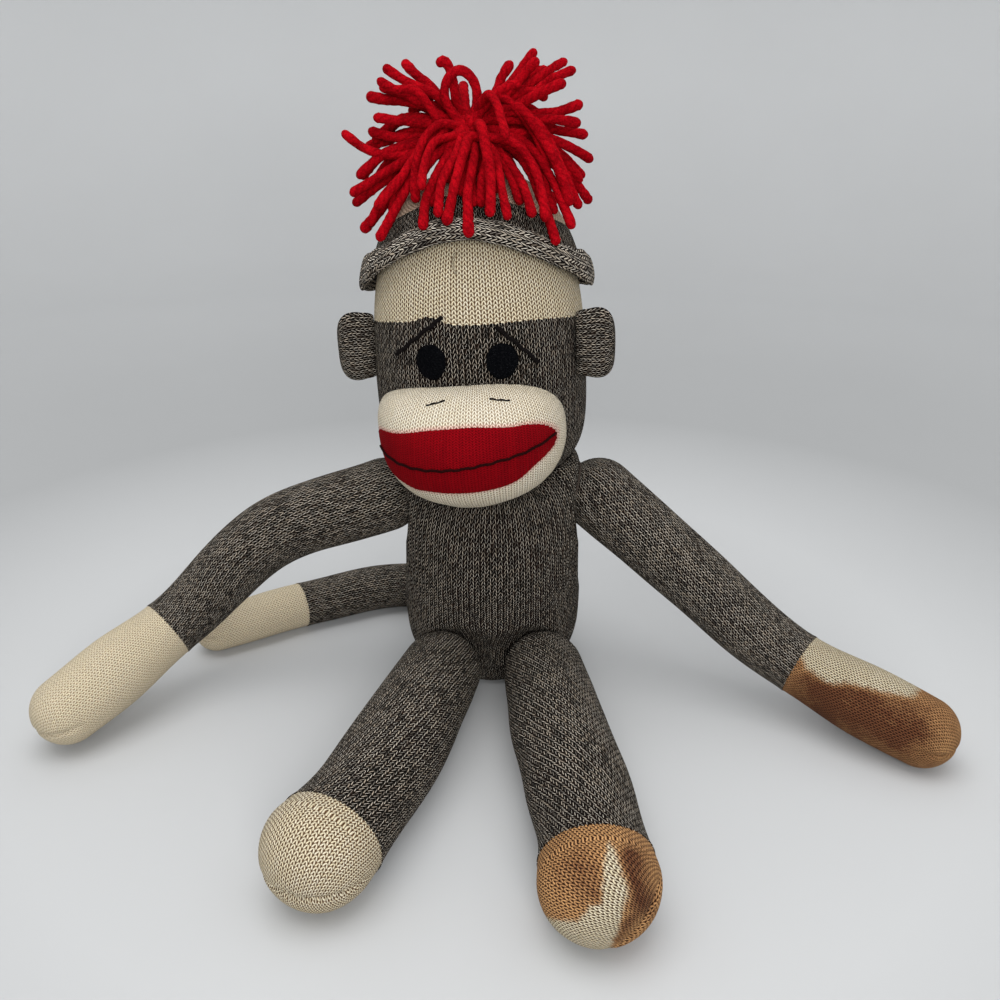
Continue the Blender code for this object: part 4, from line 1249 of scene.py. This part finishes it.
def make_ears():
    """Half-round stuffed ears, sewn to the head at the root; the right one is turned there by its fold."""
    turn = turned(56)
    root = EAR_THICKNESS / 2
    for side, name, shift, fold in (
        (1, "left", EAR_LEFT_SHIFT, 0), (-1, "right", EAR_RIGHT_SHIFT, EAR_RIGHT_FOLD),
    ):
        rows = [ear_ring(turn, -side * root, 0, 0)]
        for a in np.linspace(0, math.pi / 2, 7)[1:-1]:
            tall = EAR_ROOT_HEIGHT / 2 * (EAR_ROUND_SHARE + (1 - EAR_ROUND_SHARE) * math.sin(a))
            rows.append(ear_ring(turn, -side * root * math.cos(a), tall, root * math.sin(a)))
        for a in np.linspace(0, math.pi / 2, 22)[:-1]:
            tall = (EAR_ROOT_HEIGHT * math.sqrt(math.cos(a)) + EAR_SWELL * math.sin(2 * a)) / 2
            rows.append(ear_ring(turn, side * EAR_REACH * math.sin(a), tall, root * math.sqrt(math.cos(a))))
        points = np.array([*rows, ear_ring(turn, side * EAR_REACH, 0, 0)])
        points += unit(points) * (lumps(points, EAR_LUMP, 31 + side) * EAR_LUMP_HEIGHT)[..., None]
        points[0], points[-1] = points[0].mean(axis=0), points[-1].mean(axis=0)
        hinge = JOINT_AT[f"ear_{name}_fold"]
        place = head_place.inverted() @ hinge + Vector(shift)
        points = points @ np.array(Matrix.Rotation(fold, 3, "Z")).T + np.array(place)
        bend = [hinge + head_place.to_3x3() @ Vector((side * reach, 0, 0)) for reach in EAR_BEND]
        run = run_length(points)

        def rule(row, turn, middle):
            wale = np.sin(turn) * EAR_ROOT_HEIGHT * 0.6 / WALE
            return wale + 40 * (np.cos(middle) > 0), run[row] / COURSE

        made = skin(f"ear_{name}_skin", from_head(points), rule, marl)
        dress(made, ("head", f"ear_{name}", *bend), [f"ear_{name}"])


# Cap

def brim_arch(turn):
    """How much the cap is pushed up over the brow."""
    return BRIM_ARCH * np.maximum(-np.sin(turn), 0) ** BRIM_ARCH_POWER


def brim_height(turn):
    return HEAD_MIDDLE + BRIM_HEIGHT - BRIM_TILT * np.sin(turn)


def cap_length(turn, low, high, rows, back):
    """A length of the cap between two levels, as points and their stitch rule; its inside has every
    back-th ring of its outside."""
    share = np.linspace(0, 1, rows)[:, None]
    sides = []
    for out, shares in ((CAP_GAP + CAP_THICKNESS, share), (CAP_GAP, share[::-back])):
        form = head_form.grown(out)
        sides.append(form.at(turn, form.height(low + (high - low) * shares)))
    points = np.concatenate([*sides, sides[0][:1]])
    return points, ring_stitches(HEAD_WALES, run_length(points))


def make_cap():
    turn = turned(HEAD_COLUMNS)[None, :]
    low = head_form.level(brim_height(turn) + brim_arch(turn))
    seam = head_form.level(brim_height(turn) + BAND_WIDTH + brim_arch(turn) * BAND_ARCH_SHARE)
    points, rule = cap_length(turn, low, seam, 16, 4)
    made = skin("cap_band_knit", from_head(points), rule, sparse_marl_with_shade, sharp=EDGE)
    dress(made, "head", ["cap_band"])
    points, rule = cap_length(turn, seam, math.pi / 2, 40, 3)
    # Painted reflection: the crown is painted pink round its middle, for red light thrown down from the
    # pompom's yarn.
    pink = np.clip(1.1 - np.hypot(points[..., 0], points[..., 1]) / CROWN_BOUNCE_REACH, 0, 0.45)
    made = skin("cap_crown_knit", from_head(points), rule, cream, {"pink": pink}, sharp=EDGE)
    dress(made, "head", ["cap_crown"])
    make_brim()


def make_brim():
    """The cap's edge rolls up by itself and shows the purl side of the knit."""
    form = head_form.grown(CAP_GAP + CAP_THICKNESS)
    turn = turned(HEAD_COLUMNS)
    tall = BRIM_ROLL_WIDTH + BRIM_FLAP * np.cos(turn) ** 4
    z = brim_height(turn) + brim_arch(turn) - BRIM_FLAP / 3 * np.cos(turn) ** 4
    spot = form.at(turn, z)
    up = unit(form.at(turn, z + BRIM_ROLL_WIDTH / 2) - form.at(turn, z - BRIM_ROLL_WIDTH / 2))
    around = np.stack([-np.sin(turn), np.cos(turn), 0 * turn], -1)
    out = np.cross(around, up)
    rows = []
    for a in np.linspace(0, 2 * math.pi, 37)[:-1]:
        wobble = 1 + 0.05 * np.sin(turn * 7 + 2 * a) + 0.04 * np.sin(turn * 19 - a)
        deep = (BRIM_DEPTH - BRIM_SIDE_THIN * np.cos(turn) ** 4) / 2 * (1 + math.cos(a)) * wobble
        rise = tall / 2 * math.copysign(abs(math.sin(a)) ** 0.85, math.sin(a)) * wobble
        rows.append(spot + out * (deep[:, None] + BRIM_LIFT) + up * rise[:, None])
    points = np.array(rows + rows[:1])
    courses = round(2 * math.pi * (HEAD_WIDTH + HEAD_DEPTH) / 4 / PURL_COURSE)
    run = run_length(points)

    def rule(row, turn, middle):
        return run[row] / PURL_WALE, turn / (2 * math.pi) * courses

    made = skin("cap_brim_roll", from_head(points), rule, purl)
    dress(made, "head", ["cap_brim"])


# Limbs

def direction(heading, drop):
    turn, down = math.radians(heading), math.radians(drop)
    return np.array([math.sin(turn) * math.cos(down), -math.cos(turn) * math.cos(down), -math.sin(down)])


def posed_route(start, length, shares, pose):
    points = [np.array(start)]
    for share, (heading, drop) in zip(shares, pose):
        points.append(points[-1] + direction(heading, drop) * length * share)
    return Route(points)


def floor_route(start, girth, root, length, shares, headings):
    """A route that lies on the floor: its height is what the girth needs."""
    points = [np.array(start)]
    along = 0.0
    for share, heading in zip(shares, headings):
        along += share
        spot = points[-1] + direction(heading, 0) * length * share
        spot[2] = start[2] + root * (girth(along) - 1)
        points.append(spot)
    return Route(points)


class Limb:
    """A stuffed sock length: a ball at its root, a closed end with a toe seam."""

    def __init__(self, route, root, table, lean, seed, seam=(0.0, 0.0)):
        self.seam_turn, self.seam_drop = seam
        self.route = route
        self.root = root
        self.girth = Girth(table)
        self.lean = lean
        self.seed = seed
        self.tip = root * self.girth(1.0)
        self.last = route.length - self.tip
        self.columns = 4 * round(2 * math.pi * root / FACET / 4)

    def radius(self, distance):
        return self.root * self.girth(np.clip(distance / self.route.length, 0, 1))

    def rings(self, distance, radius):
        """Rings of points round the route, from a table of distances by row and column."""
        turn = turned(self.columns)[None, :, None]
        along = self.route.heading(np.clip(distance, 0, self.route.length))
        across = unit(np.cross(along, np.array([0, 0, 1.0])))
        up = np.cross(across, along)
        return self.route.at(distance) + (across * np.cos(turn) + up * np.sin(turn)) * radius[..., None]

    def zone(self, start, end, border, lead):
        """Points and the stitch rule from one distance to another; lead is how much further along its
        upper side the border between marl and cream lies."""
        count = max(2, round((min(end, self.last) - start) / RING_STEP))
        distance = np.linspace(start, min(end, self.last), count)
        radius = self.radius(distance)
        polar = np.zeros(count)
        if start == 0:
            ball = np.linspace(0, math.pi / 2, 12)[:-1]
            distance = np.append(-self.root * np.cos(ball), distance)
            radius = np.append(self.root * np.sin(ball), radius)
            polar = np.append(ball * 0, polar)
        if end >= self.route.length:
            bow = np.linspace(0, math.pi / 2, 18)[1:]
            distance = np.append(distance, self.last + self.tip * np.sin(bow))
            radius = np.append(radius, self.radius(self.last) * np.cos(bow))
            polar = np.append(polar, bow)
        fade = np.clip(1 - np.abs(distance - border) / LEAD_REACH, 0, 1)
        shift = lead * np.sin(turned(self.columns))[None, :] * (fade * fade * (3 - 2 * fade))[:, None]
        spread = distance[:, None] + shift
        points = self.rings(spread, radius[:, None] + 0 * spread)
        run = spread.copy()
        if start == 0:
            run[:11] = -self.root * (math.pi / 2 - ball)[:, None]
        middle = self.route.at(spread)
        out = points - middle
        wide = np.linalg.norm(out, axis=-1, keepdims=True)
        swell = lumps(points, LIMB_LUMP, self.seed) * LUMP_HEIGHT
        swell *= np.clip(distance / self.root - 0.6, 0, 1)[:, None]
        points += unit(out) * swell[..., None] * np.clip(wide / self.root, 0, 1)
        if end >= self.route.length:
            points = self.toe_seam(points, middle, polar)
        if start > 0:
            points = np.concatenate([self.gathered(points[:1]), points])
            run, polar = np.concatenate([run[:1], run]), np.append(0, polar)
        else:
            points[0] = points[0].mean(axis=0)
        if end < self.route.length:
            points = np.concatenate([points, self.gathered(points[-1:])])
            run, polar = np.concatenate([run, run[-1:]]), np.append(polar, 0)
        gauge = (END_WALE, END_COURSE) if start > 0 else (WALE, COURSE)
        return on_floor(points), self.stitch_rule(run, polar, *gauge)

    def gathered(self, ring):
        """A ring drawn together to its middle, which closes a cut end."""
        return np.repeat(ring.mean(axis=1, keepdims=True), self.columns, 1)

    def toe_seam(self, points, middle, polar):
        """The sewn end draws in along a line round the tip."""
        rise = np.sin(turned(self.columns) - self.seam_turn)[None, :] * np.cos(polar)[:, None]
        side = rise * self.tip + self.seam_drop
        depth = TOE_SEAM_DEPTH * np.exp(-((side / TOE_SEAM_WIDTH) ** 2))
        depth *= np.clip(polar / 0.5, 0, 1)[:, None]
        ahead = np.clip(np.sin(polar), 0, 1)[:, None, None] * self.route.heading(self.route.length)
        out = unit(points - middle) * np.cos(polar)[:, None, None]
        return points - (out + ahead) * depth[..., None]

    def stitch_rule(self, run, polar, wale_size, course_size):
        wales = round(2 * math.pi * self.root / wale_size)
        round_wales = wales / (2 * math.pi)
        size = self.tip
        step = self.columns / (2 * math.pi)

        def rule(row, turn, middle):
            bow = polar[row]
            bow_middle = bow.mean(axis=-1, keepdims=True)
            upper = np.sin(middle - self.seam_turn) * np.cos(bow_middle) * size > -self.seam_drop
            seen = turn - self.seam_turn
            side = np.cos(bow) * np.cos(seen)
            lift = np.cos(bow) * np.sin(seen) * np.where(upper, 1, -1)
            ahead = np.sin(bow)
            off = np.arccos(np.clip(lift, -1, 1))
            flat = np.maximum(np.hypot(side, ahead), TINY)
            on_dome_wale = round_wales * (math.pi / 2 - off * side / flat)
            on_dome_wale = np.where(upper, on_dome_wale, wales - on_dome_wale)
            on_dome_wale = on_dome_wale + round_wales * self.seam_turn
            on_dome_run = self.last + size * off * ahead / flat
            wale = np.where(bow > 0, on_dome_wale, round_wales * turn)
            column = np.rint(turn * step).astype(int) % self.columns
            run_here = np.where(bow > 0, on_dome_run, run[row, column])
            return wale + run_here * math.tan(self.lean) / wale_size, -run_here / course_size + 500

        return rule


def make_limb(limb, split, body, nodes, look, stain=None, lead=0.0):
    """The marl length and the cream closed end of one limb."""
    border = limb.route.length * split
    points, rule = limb.zone(0, border, border, lead)
    middle = limb.route.at(border)
    tooth = saw(LIMB_TOOTH, limb.columns)[:, None]
    points[-2] += limb.route.heading(border) * tooth + (points[-2] - middle) * BORDER_FLARES[0]
    points[-3] += (points[-3] - middle) * BORDER_FLARES[1]
    points[-3:, :, 2] = np.maximum(points[-3:, :, 2], 0)
    made = skin(f"{nodes[0]}_skin", points, rule, marl, sharp=EDGE)
    dress(made, body, [nodes[0]])
    points, rule = limb.zone(border - BORDER_OVERLAP, limb.route.length, border, lead)
    marks = stain(points) if stain else None
    made = skin(f"{nodes[1]}_skin", points, rule, look, marks, sharp=EDGE)
    dress(made, body, [nodes[1]])


def near_line(x, y, start, end):
    """Distance in pixels from places in the photograph's frame to a line between two pixels."""
    start, end = np.array(start, float), np.array(end, float)
    away = end - start
    share = np.clip(((x - start[0]) * away[0] + (y - start[1]) * away[1]) / (away @ away), 0, 1)
    return np.hypot(x - start[0] - share * away[0], y - start[1] - share * away[1])


HAND_CLEAN_PIXELS = (
    (816, 615), (860, 625), (905, 655), (920, 690), (913, 698), (894, 694), (870, 689), (847, 682),
    (831, 685), (821, 679), (806, 668), (800, 652),
)
HAND_TIP_PIXEL = (945, 750)
HAND_DARK_PIXELS = ((822, 698), (915, 735))
FOOT_CLEAN_PIXELS = (
    (608, 842), (605, 861), (604, 873), (601, 890), (605, 899), (601, 904), (589, 908), (585, 914),
    (577, 921), (555, 920), (530, 914), (530, 965), (600, 975), (610, 948), (619, 932), (621, 921),
    (624, 907), (628, 894), (627, 887), (622, 875), (619, 862), (614, 848),
)
FOOT_DARK_PIXELS = ((578, 868), (599, 900))
FOOT_SIDE_PIXELS = ((631, 858), (641, 903))
# Painted shade: a line down the left foot's toe seam, darkened as the shade in its crease.
FOOT_SEAM_SHADE_PIXELS = ((650, 897), (616, 938))


def inside(x, y, outline):
    """Distance in pixels into an outline drawn in the photograph's frame, negative outside it."""
    within = np.zeros(x.shape, bool)
    near = np.full(x.shape, 1e3)
    for a, b in zip(outline, outline[1:] + outline[:1]):
        near = np.minimum(near, near_line(x, y, a, b))
        crosses = (a[1] > y) != (b[1] > y)
        within ^= crosses & (x < a[0] + (y - a[1]) * (b[0] - a[0]) / (b[1] - a[1] + TINY))
    return np.where(within, near, -near)


def hand_stain(points):
    """Most of the hand is stained; a band along its upper side from the wrist stays cream."""
    x, y = seen_pixels(points)
    stain = np.clip(0.5 - inside(x, y, HAND_CLEAN_PIXELS) / 12, 0, 1)
    tip = np.hypot(x - HAND_TIP_PIXEL[0], y - HAND_TIP_PIXEL[1])
    dark = np.exp(-((near_line(x, y, *HAND_DARK_PIXELS) / 30) ** 2))
    deep = np.clip((0.35 + 0.75 * dark) * (1 - 0.55 * np.exp(-((tip / 30) ** 2))), 0, 1)
    return {"stain": stain, "deep": deep * stain, "pink": 0 * stain}


def foot_stain(points):
    """The foot is stained but for a streak down its front and the outer part of its toe; a narrow dark line
    down the toe seam is painted shade in its crease.
    """
    x, y = seen_pixels(points)
    stain = np.clip(0.5 - inside(x, y, FOOT_CLEAN_PIXELS) / 12, 0, 1)
    deep = 0.65 * np.exp(-((near_line(x, y, *FOOT_DARK_PIXELS) / 26) ** 2))
    deep = np.maximum(deep, np.exp(-((near_line(x, y, *FOOT_SIDE_PIXELS) / 15) ** 2)))
    # Painted shade: a narrow dark line down the toe seam stands for the shade in its crease.
    deep = np.maximum(deep, 0.8 * np.exp(-((near_line(x, y, *FOOT_SEAM_SHADE_PIXELS) / 6) ** 2)))
    return {"stain": stain, "deep": np.clip(deep, 0, 1) * stain, "pink": 0 * stain}


def make_limbs():
    for side, name, pose, split, look, stain in (
        (1, "left", LEFT_ARM_POSE, LEFT_HAND_SHARE, stained, hand_stain),
        (-1, "right", RIGHT_ARM_POSE, RIGHT_HAND_SHARE, worn, None),
    ):
        start = JOINT_AT[f"shoulder_{name}_swing"]
        route = posed_route(start, ARM_LENGTH, ARM_SPAN_SHARES, pose)
        limb = Limb(route, ARM_ROOT, ARM_GIRTH_SHARES, ARM_LEAN * side, 41 + side)
        make_limb(limb, split, f"arm_{name}", (f"sleeve_{name}", f"hand_{name}"), look, stain)
    for name, length, headings, lean, seam, lead, look, stain in (
        ("left", LEFT_LEG_LENGTH, LEFT_LEG_HEADINGS, LEFT_LEG_LEAN, LEFT_TOE_SEAM, LEFT_FOOT_LEAD,
         stained, foot_stain),
        ("right", RIGHT_LEG_LENGTH, RIGHT_LEG_HEADINGS, RIGHT_LEG_LEAN, RIGHT_TOE_SEAM, RIGHT_FOOT_LEAD,
         cream, None),
    ):
        start = JOINT_AT[f"hip_{name}"]
        route = floor_route(start, Girth(LEG_GIRTH_SHARES), LEG_ROOT, length, LEG_SPAN_SHARES, headings)
        limb = Limb(route, LEG_ROOT, LEG_GIRTH_SHARES, lean, 51 + len(name), seam)
        make_limb(limb, FOOT_SHARE, f"leg_{name}", (f"leg_{name}", f"foot_{name}"), look, stain, lead)
    start, girth = JOINT_AT["tail_wag"], Girth(TAIL_GIRTH_SHARES)
    route = floor_route(start, girth, TAIL_ROOT, TAIL_LENGTH, TAIL_SPAN_SHARES, TAIL_HEADINGS)
    limb = Limb(route, TAIL_ROOT, TAIL_GIRTH_SHARES, 0.0, 61)
    make_limb(limb, TAIL_TIP_SHARE, "tail", ("tail", "tail_tip"), worn)


def make_seam_threads():
    """Twisted thread round each root that is drawn in and sewn on."""
    neck, tail = (JOINT_AT["neck_turn"], UP), (JOINT_AT["tail_wag"], Vector((0, 1, 0)))
    arm = (ARM_ROOT, SHOULDER_THREAD_ANGLE)
    for node, body, centre, axis, radius, angle in (
        ("neck_thread", "neck_thread", *neck, NECK_RADIUS, NECK_THREAD_ANGLE),
        ("shoulder_left_seam_thread", "shoulder_left_thread", *shoulder(1), *arm),
        ("shoulder_right_seam_thread", "shoulder_right_thread", *shoulder(-1), *arm),
        ("tail_seam_thread", "torso", *tail, TAIL_ROOT, TAIL_THREAD_ANGLE),
    ):
        reach = radius + THREAD_GAP + SEAM_THREAD / 2
        spin = np.array(UP.rotation_difference(axis).to_matrix())
        turn = turned(96)
        out = np.stack([np.cos(turn), np.sin(turn), 0 * turn], -1)
        rows = []
        for b in turned(10):
            ply = 1 + 0.08 * np.cos(3 * b + 24 * turn)
            across = reach * math.sin(angle) + SEAM_THREAD / 2 * math.cos(b) * ply
            rise = -reach * math.cos(angle) + SEAM_THREAD / 2 * math.sin(b) * ply
            ring = out * across[:, None] + np.array([0, 0, 1]) * rise[:, None]
            rows.append(ring @ spin.T + np.array(centre))
        made = skin(f"{node}_twist", np.array(rows + rows[:1]), lambda r, t, m: (r / 10, t * 8), sewing)
        dress(made, body, [node])


# Pompom

STRANDS = (
    # up and to the viewer's left
    ((440, 95), (405, 80), (383, 66), 0.000), ((432, 88), (413, 72), (403, 61), 0.012),
    ((420, 94), (395, 84), (377, 79), -0.012), ((420, 99), (396, 90), (379, 87), 0.004),
    ((425, 106), (392, 103), (366, 96), 0.006), ((428, 110), (400, 100), (388, 93), 0.018),
    ((440, 124), (400, 121), (373, 117), -0.008), ((430, 134), (395, 133), (368, 130), 0.004),
    # up and to the viewer's right
    ((505, 86), (525, 63), (536, 49), 0.004), ((508, 93), (527, 73), (538, 59), -0.010),
    ((493, 95), (503, 76), (512, 61), 0.012), ((525, 96), (555, 79), (576, 69), 0.000),
    ((520, 90), (547, 72), (567, 60), 0.012), ((515, 106), (545, 93), (566, 82), -0.014),
    ((505, 100), (530, 78), (548, 70), 0.016), ((520, 118), (555, 111), (583, 103), 0.002),
    ((525, 120), (555, 118), (581, 124), -0.010), ((530, 128), (560, 131), (588, 135), 0.008),
    ((530, 135), (565, 143), (593, 161), -0.002), ((528, 140), (560, 152), (584, 178), 0.016),
    # down to the viewer's right
    ((515, 112), (540, 130), (560, 165), (580, 209), -0.018),
    ((512, 108), (535, 123), (552, 160), (571, 206), -0.026),
    ((525, 138), (550, 172), (573, 229), -0.028), ((515, 148), (545, 198), (557, 245), -0.046),
    ((490, 96), (513, 104), (530, 124), (541, 158), (548, 190), (556, 214), -0.040),
    ((488, 97), (501, 116), (506, 139), -0.034), ((510, 140), (540, 180), (546, 222), -0.040),
    # down in front
    ((473, 153), (470, 190), (469, 237), -0.054), ((481, 130), (487, 173), (490, 217), -0.050),
    ((494, 150), (501, 184), (508, 220), -0.050), ((498, 144), (518, 184), (533, 217), -0.046),
    ((467, 144), (453, 179), (446, 225), -0.050), ((456, 150), (444, 184), (438, 217), -0.046),
    ((444, 160), (428, 198), (423, 229), -0.044), ((478, 153), (474, 185), (474, 206), -0.040),
    ((456, 124), (436, 127), (419, 144), (411, 173), (416, 203), -0.042),
    ((453, 133), (436, 141), (424, 164), (421, 190), -0.036), ((486, 150), (482, 180), (481, 207), -0.036),
    ((490, 145), (510, 175), (521, 205), -0.040), ((460, 148), (440, 178), (431, 206), -0.034),
    ((472, 140), (466, 170), (462, 196), -0.030), ((484, 140), (490, 168), (497, 193), -0.028),
    ((468, 140), (455, 165), (448, 188), -0.020), ((494, 138), (510, 162), (524, 186), -0.020),
    ((478, 142), (478, 165), (486, 190), -0.018), ((462, 136), (436, 160), (412, 190), -0.024),
    ((500, 130), (530, 160), (548, 196), -0.016), ((475, 140), (470, 160), (472, 184), 0.000),
    # down to the viewer's left
    ((430, 140), (390, 155), (357, 178), -0.004), ((430, 145), (385, 172), (350, 195), -0.008),
    ((425, 150), (385, 180), (353, 205), 0.002), ((420, 160), (385, 200), (362, 232), -0.014),
    ((425, 165), (395, 205), (378, 241), -0.030), ((420, 155), (388, 195), (370, 226), -0.022),
    ((425, 150), (395, 180), (375, 208), -0.030), ((425, 130), (390, 139), (366, 147), 0.014),
    ((428, 152), (402, 185), (392, 214), -0.034),
)
CAP_REST_PIXELS = 196
BRIM_REST_PIXELS = 214
BACK_STRANDS = 30
BACK_REACH = 0.058
BACK_DROOP = 0.016
TIE_SPREAD = 0.0035
BACK_TIE_SPREAD = 0.003
STRAND_WANDER = 0.0009
YARN_ROW = 0.0013
YARN_WAVE = 0.011
YARN_LOBE = 0.025
CURL_PIXELS = ((474, 126), (458, 105), (453, 82), (449, 67), (443, 61), (437, 66))
HOOK_PIXELS = ((466, 132), (420, 151), (388, 155), (364, 148), (350, 138), (342, 131))
LOOP_PIXELS = ((462, 126), (447, 104), (445, 86), (453, 73), (463, 71), (473, 80), (477, 96), (474, 122))


def off_cap(points, clear):
    """Lifts points of a strand that would lie in the cap."""
    local = to_head(points)
    fill = cap_fill(local, clear)
    lift = np.where((fill < 1) & (local[:, 2] > HEAD_MIDDLE), 1 / np.maximum(fill, 0.3), 1)
    middle = np.array([0, 0, HEAD_MIDDLE])
    return from_head(middle + (local - middle) * lift[:, None])


def cap_fill(local, clear):
    """Below 1 where a spot of the head's frame lies within this distance of the cap."""
    form = head_form.grown(CAP_GAP + CAP_THICKNESS + clear)
    wide = np.hypot(local[:, 0] / form.width, local[:, 1] / form.depth)
    high = np.abs(local[:, 2] - HEAD_MIDDLE) / form.rise
    return (wide**form.power + high**form.power) ** (1 / form.power)


def on_cap(x, y, clear, fallback):
    """The world y at which a pixel's line of sight reaches the cap, or the fallback where it misses."""
    depths = np.linspace(-0.09, 0.0, 181)
    points = np.array([through_pixel(x, y, depth) for depth in depths])
    local = to_head(points)
    hit = np.flatnonzero(cap_fill(local, clear) < 1)
    return depths[hit[0]] if len(hit) else fallback


def strand(name, points, seed):
    """One cut length of yarn with a blunt, slightly teased end."""
    chance = np.random.default_rng(seed)
    route = Route(points, 16)
    count = max(12, int(route.length / YARN_ROW))
    dome = np.array([0.5, 0.9, 1.2, 1.45, math.pi / 2])
    full = route.length - YARN / 2
    distance = np.append(np.linspace(0, full, count), full + YARN / 2 * np.sin(dome))
    line = route.at(distance)
    size = YARN * (0.88 + 0.22 * chance.random())
    radii = size / 2 * (1 + 0.05 * np.sin(distance / YARN_WAVE + chance.random() * 6))
    radii *= 1 + 0.035 * chance.normal(size=len(distance))
    radii[-5:] *= np.cos(dome)
    radii[-9:-5] *= 1.08
    radii[0] = 0
    return tube(name, line, radii, yarn, 12, 1, 2 * math.pi / YARN_TURN, YARN_LOBE)


def make_pompom():
    rise = HEAD_MIDDLE + HEAD_RISE + CAP_GAP + CAP_THICKNESS + POMPOM_CORE
    centre = np.array(head_place @ Vector((0, 0, rise)))
    parts = []
    chance = np.random.default_rng(7)

    def add(points):
        parts.append(strand(f"strand_{len(parts)}", points, len(parts)))

    def laid(points):
        """A strand's spots on a smooth curve, lifted off the cap."""
        clear = off_cap(np.asarray(spline(points, 6)), YARN * 0.55)
        return clear[::3] if len(clear) > 8 else clear

    def jittered(size):
        return chance.normal(size=3) * size

    for *pixels, depth in STRANDS:
        x, y = pixels[-1]
        if y > CAP_REST_PIXELS:
            depth = on_cap(x, y, YARN * 0.8 + (BRIM_DEPTH if y > BRIM_REST_PIXELS else 0), depth)
        start = centre + jittered(TIE_SPREAD)
        points = [start]
        for i, (x, y) in enumerate(pixels):
            share = ((i + 1) / len(pixels)) ** 0.8
            points.append(np.array(through_pixel(x, y, start[1] + (depth - start[1]) * share)))
        points[1:-1] = [point + jittered(STRAND_WANDER) for point in points[1:-1]]
        add(laid(points))
    golden = math.pi * (3 - math.sqrt(5))
    for i in range(BACK_STRANDS):
        rise = 0.8 - 1.15 * (i + 0.5) / BACK_STRANDS
        turn = math.pi * ((golden * i / math.pi) % 1.0)
        flat = math.sqrt(1 - rise * rise)
        aim = np.array([flat * math.cos(turn), flat * math.sin(turn), rise])
        reach = BACK_REACH * (0.86 + 0.14 * chance.random()) * (1 - 0.35 * max(rise, 0))
        drop = np.array([0, 0, BACK_DROOP * flat])
        start = centre + jittered(BACK_TIE_SPREAD)
        steps = ((0.45, 0.1), (0.8, 0.6), (1, 1.3))
        add(laid([start, *(start + aim * reach * out - drop * down for out, down in steps)]))
    for pixels, depth in ((CURL_PIXELS, 0.004), (HOOK_PIXELS, -0.004), (LOOP_PIXELS, -0.004)):
        add([np.array(through_pixel(x, y, depth)) for x, y in pixels])
    dress(joined("pompom_yarn", parts), "head", ["pompom"])


make_camera()
flecked = {"sheen": 0.02, "specular": 0.04}
marl = knit_look("marl_knit", marl_colour(0.27), crevice_shade=0.03, sheen=0.03, hole=0.9, specular=0.04)
# A sparser, darker copy of the marl for the torso, face and cap band: its fewer pale dashes are partly the
# knit's own look and partly painted shade, for the shade that falls on the torso under the head.
sparse_marl_with_shade = knit_look("sparse_marl_with_shade_knit", marl_colour(0.19), crevice_shade=0.03, hole=0.9, **flecked)
purl = knit_look("marl_purl", marl_colour(0.46), crevice_shade=0.06, hole=0.1, **flecked)
cream = knit_look("cream_knit", wool_colour(), crevice_shade=0.12, sheen=0.08, hole=0.95, warm=0.6)
stained = knit_look("stained_knit", stained_colour, crevice_shade=0.05, sheen=0.02, hole=0.95, warm=0.5)
worn = knit_look("worn_knit", wool_colour(WORN_YARN, 0.5), depth=0.0005, crevice_shade=0.3, hole=0.5, warm=0.5)
brushed = knit_look("brushed_knit", wool_colour(MUZZLE_YARN, 0.4), depth=0.0007, crevice_shade=0.38, hole=0.7)
red = knit_look(
    "red_knit", red_colour, depth=0.0004, crevice_shade=0.45, sheen=0.02, tint=(1.0, 0.1, 0.1), hole=0.0,
    warm=0.0, specular=0.02,
)
yarn = yarn_look()
felt = felt_look()
dark = thread_look("dark_thread", *DARK_THREADS)
mouth = thread_look("mouth_thread", *MOUTH_THREADS)
sewing = thread_look("sewing_thread", *SEWING_THREADS)
make_stage()
make_torso()
make_head()
make_muzzle()
make_patch()
make_face()
make_ears()
make_cap()
make_limbs()
make_seam_threads()
make_pompom()
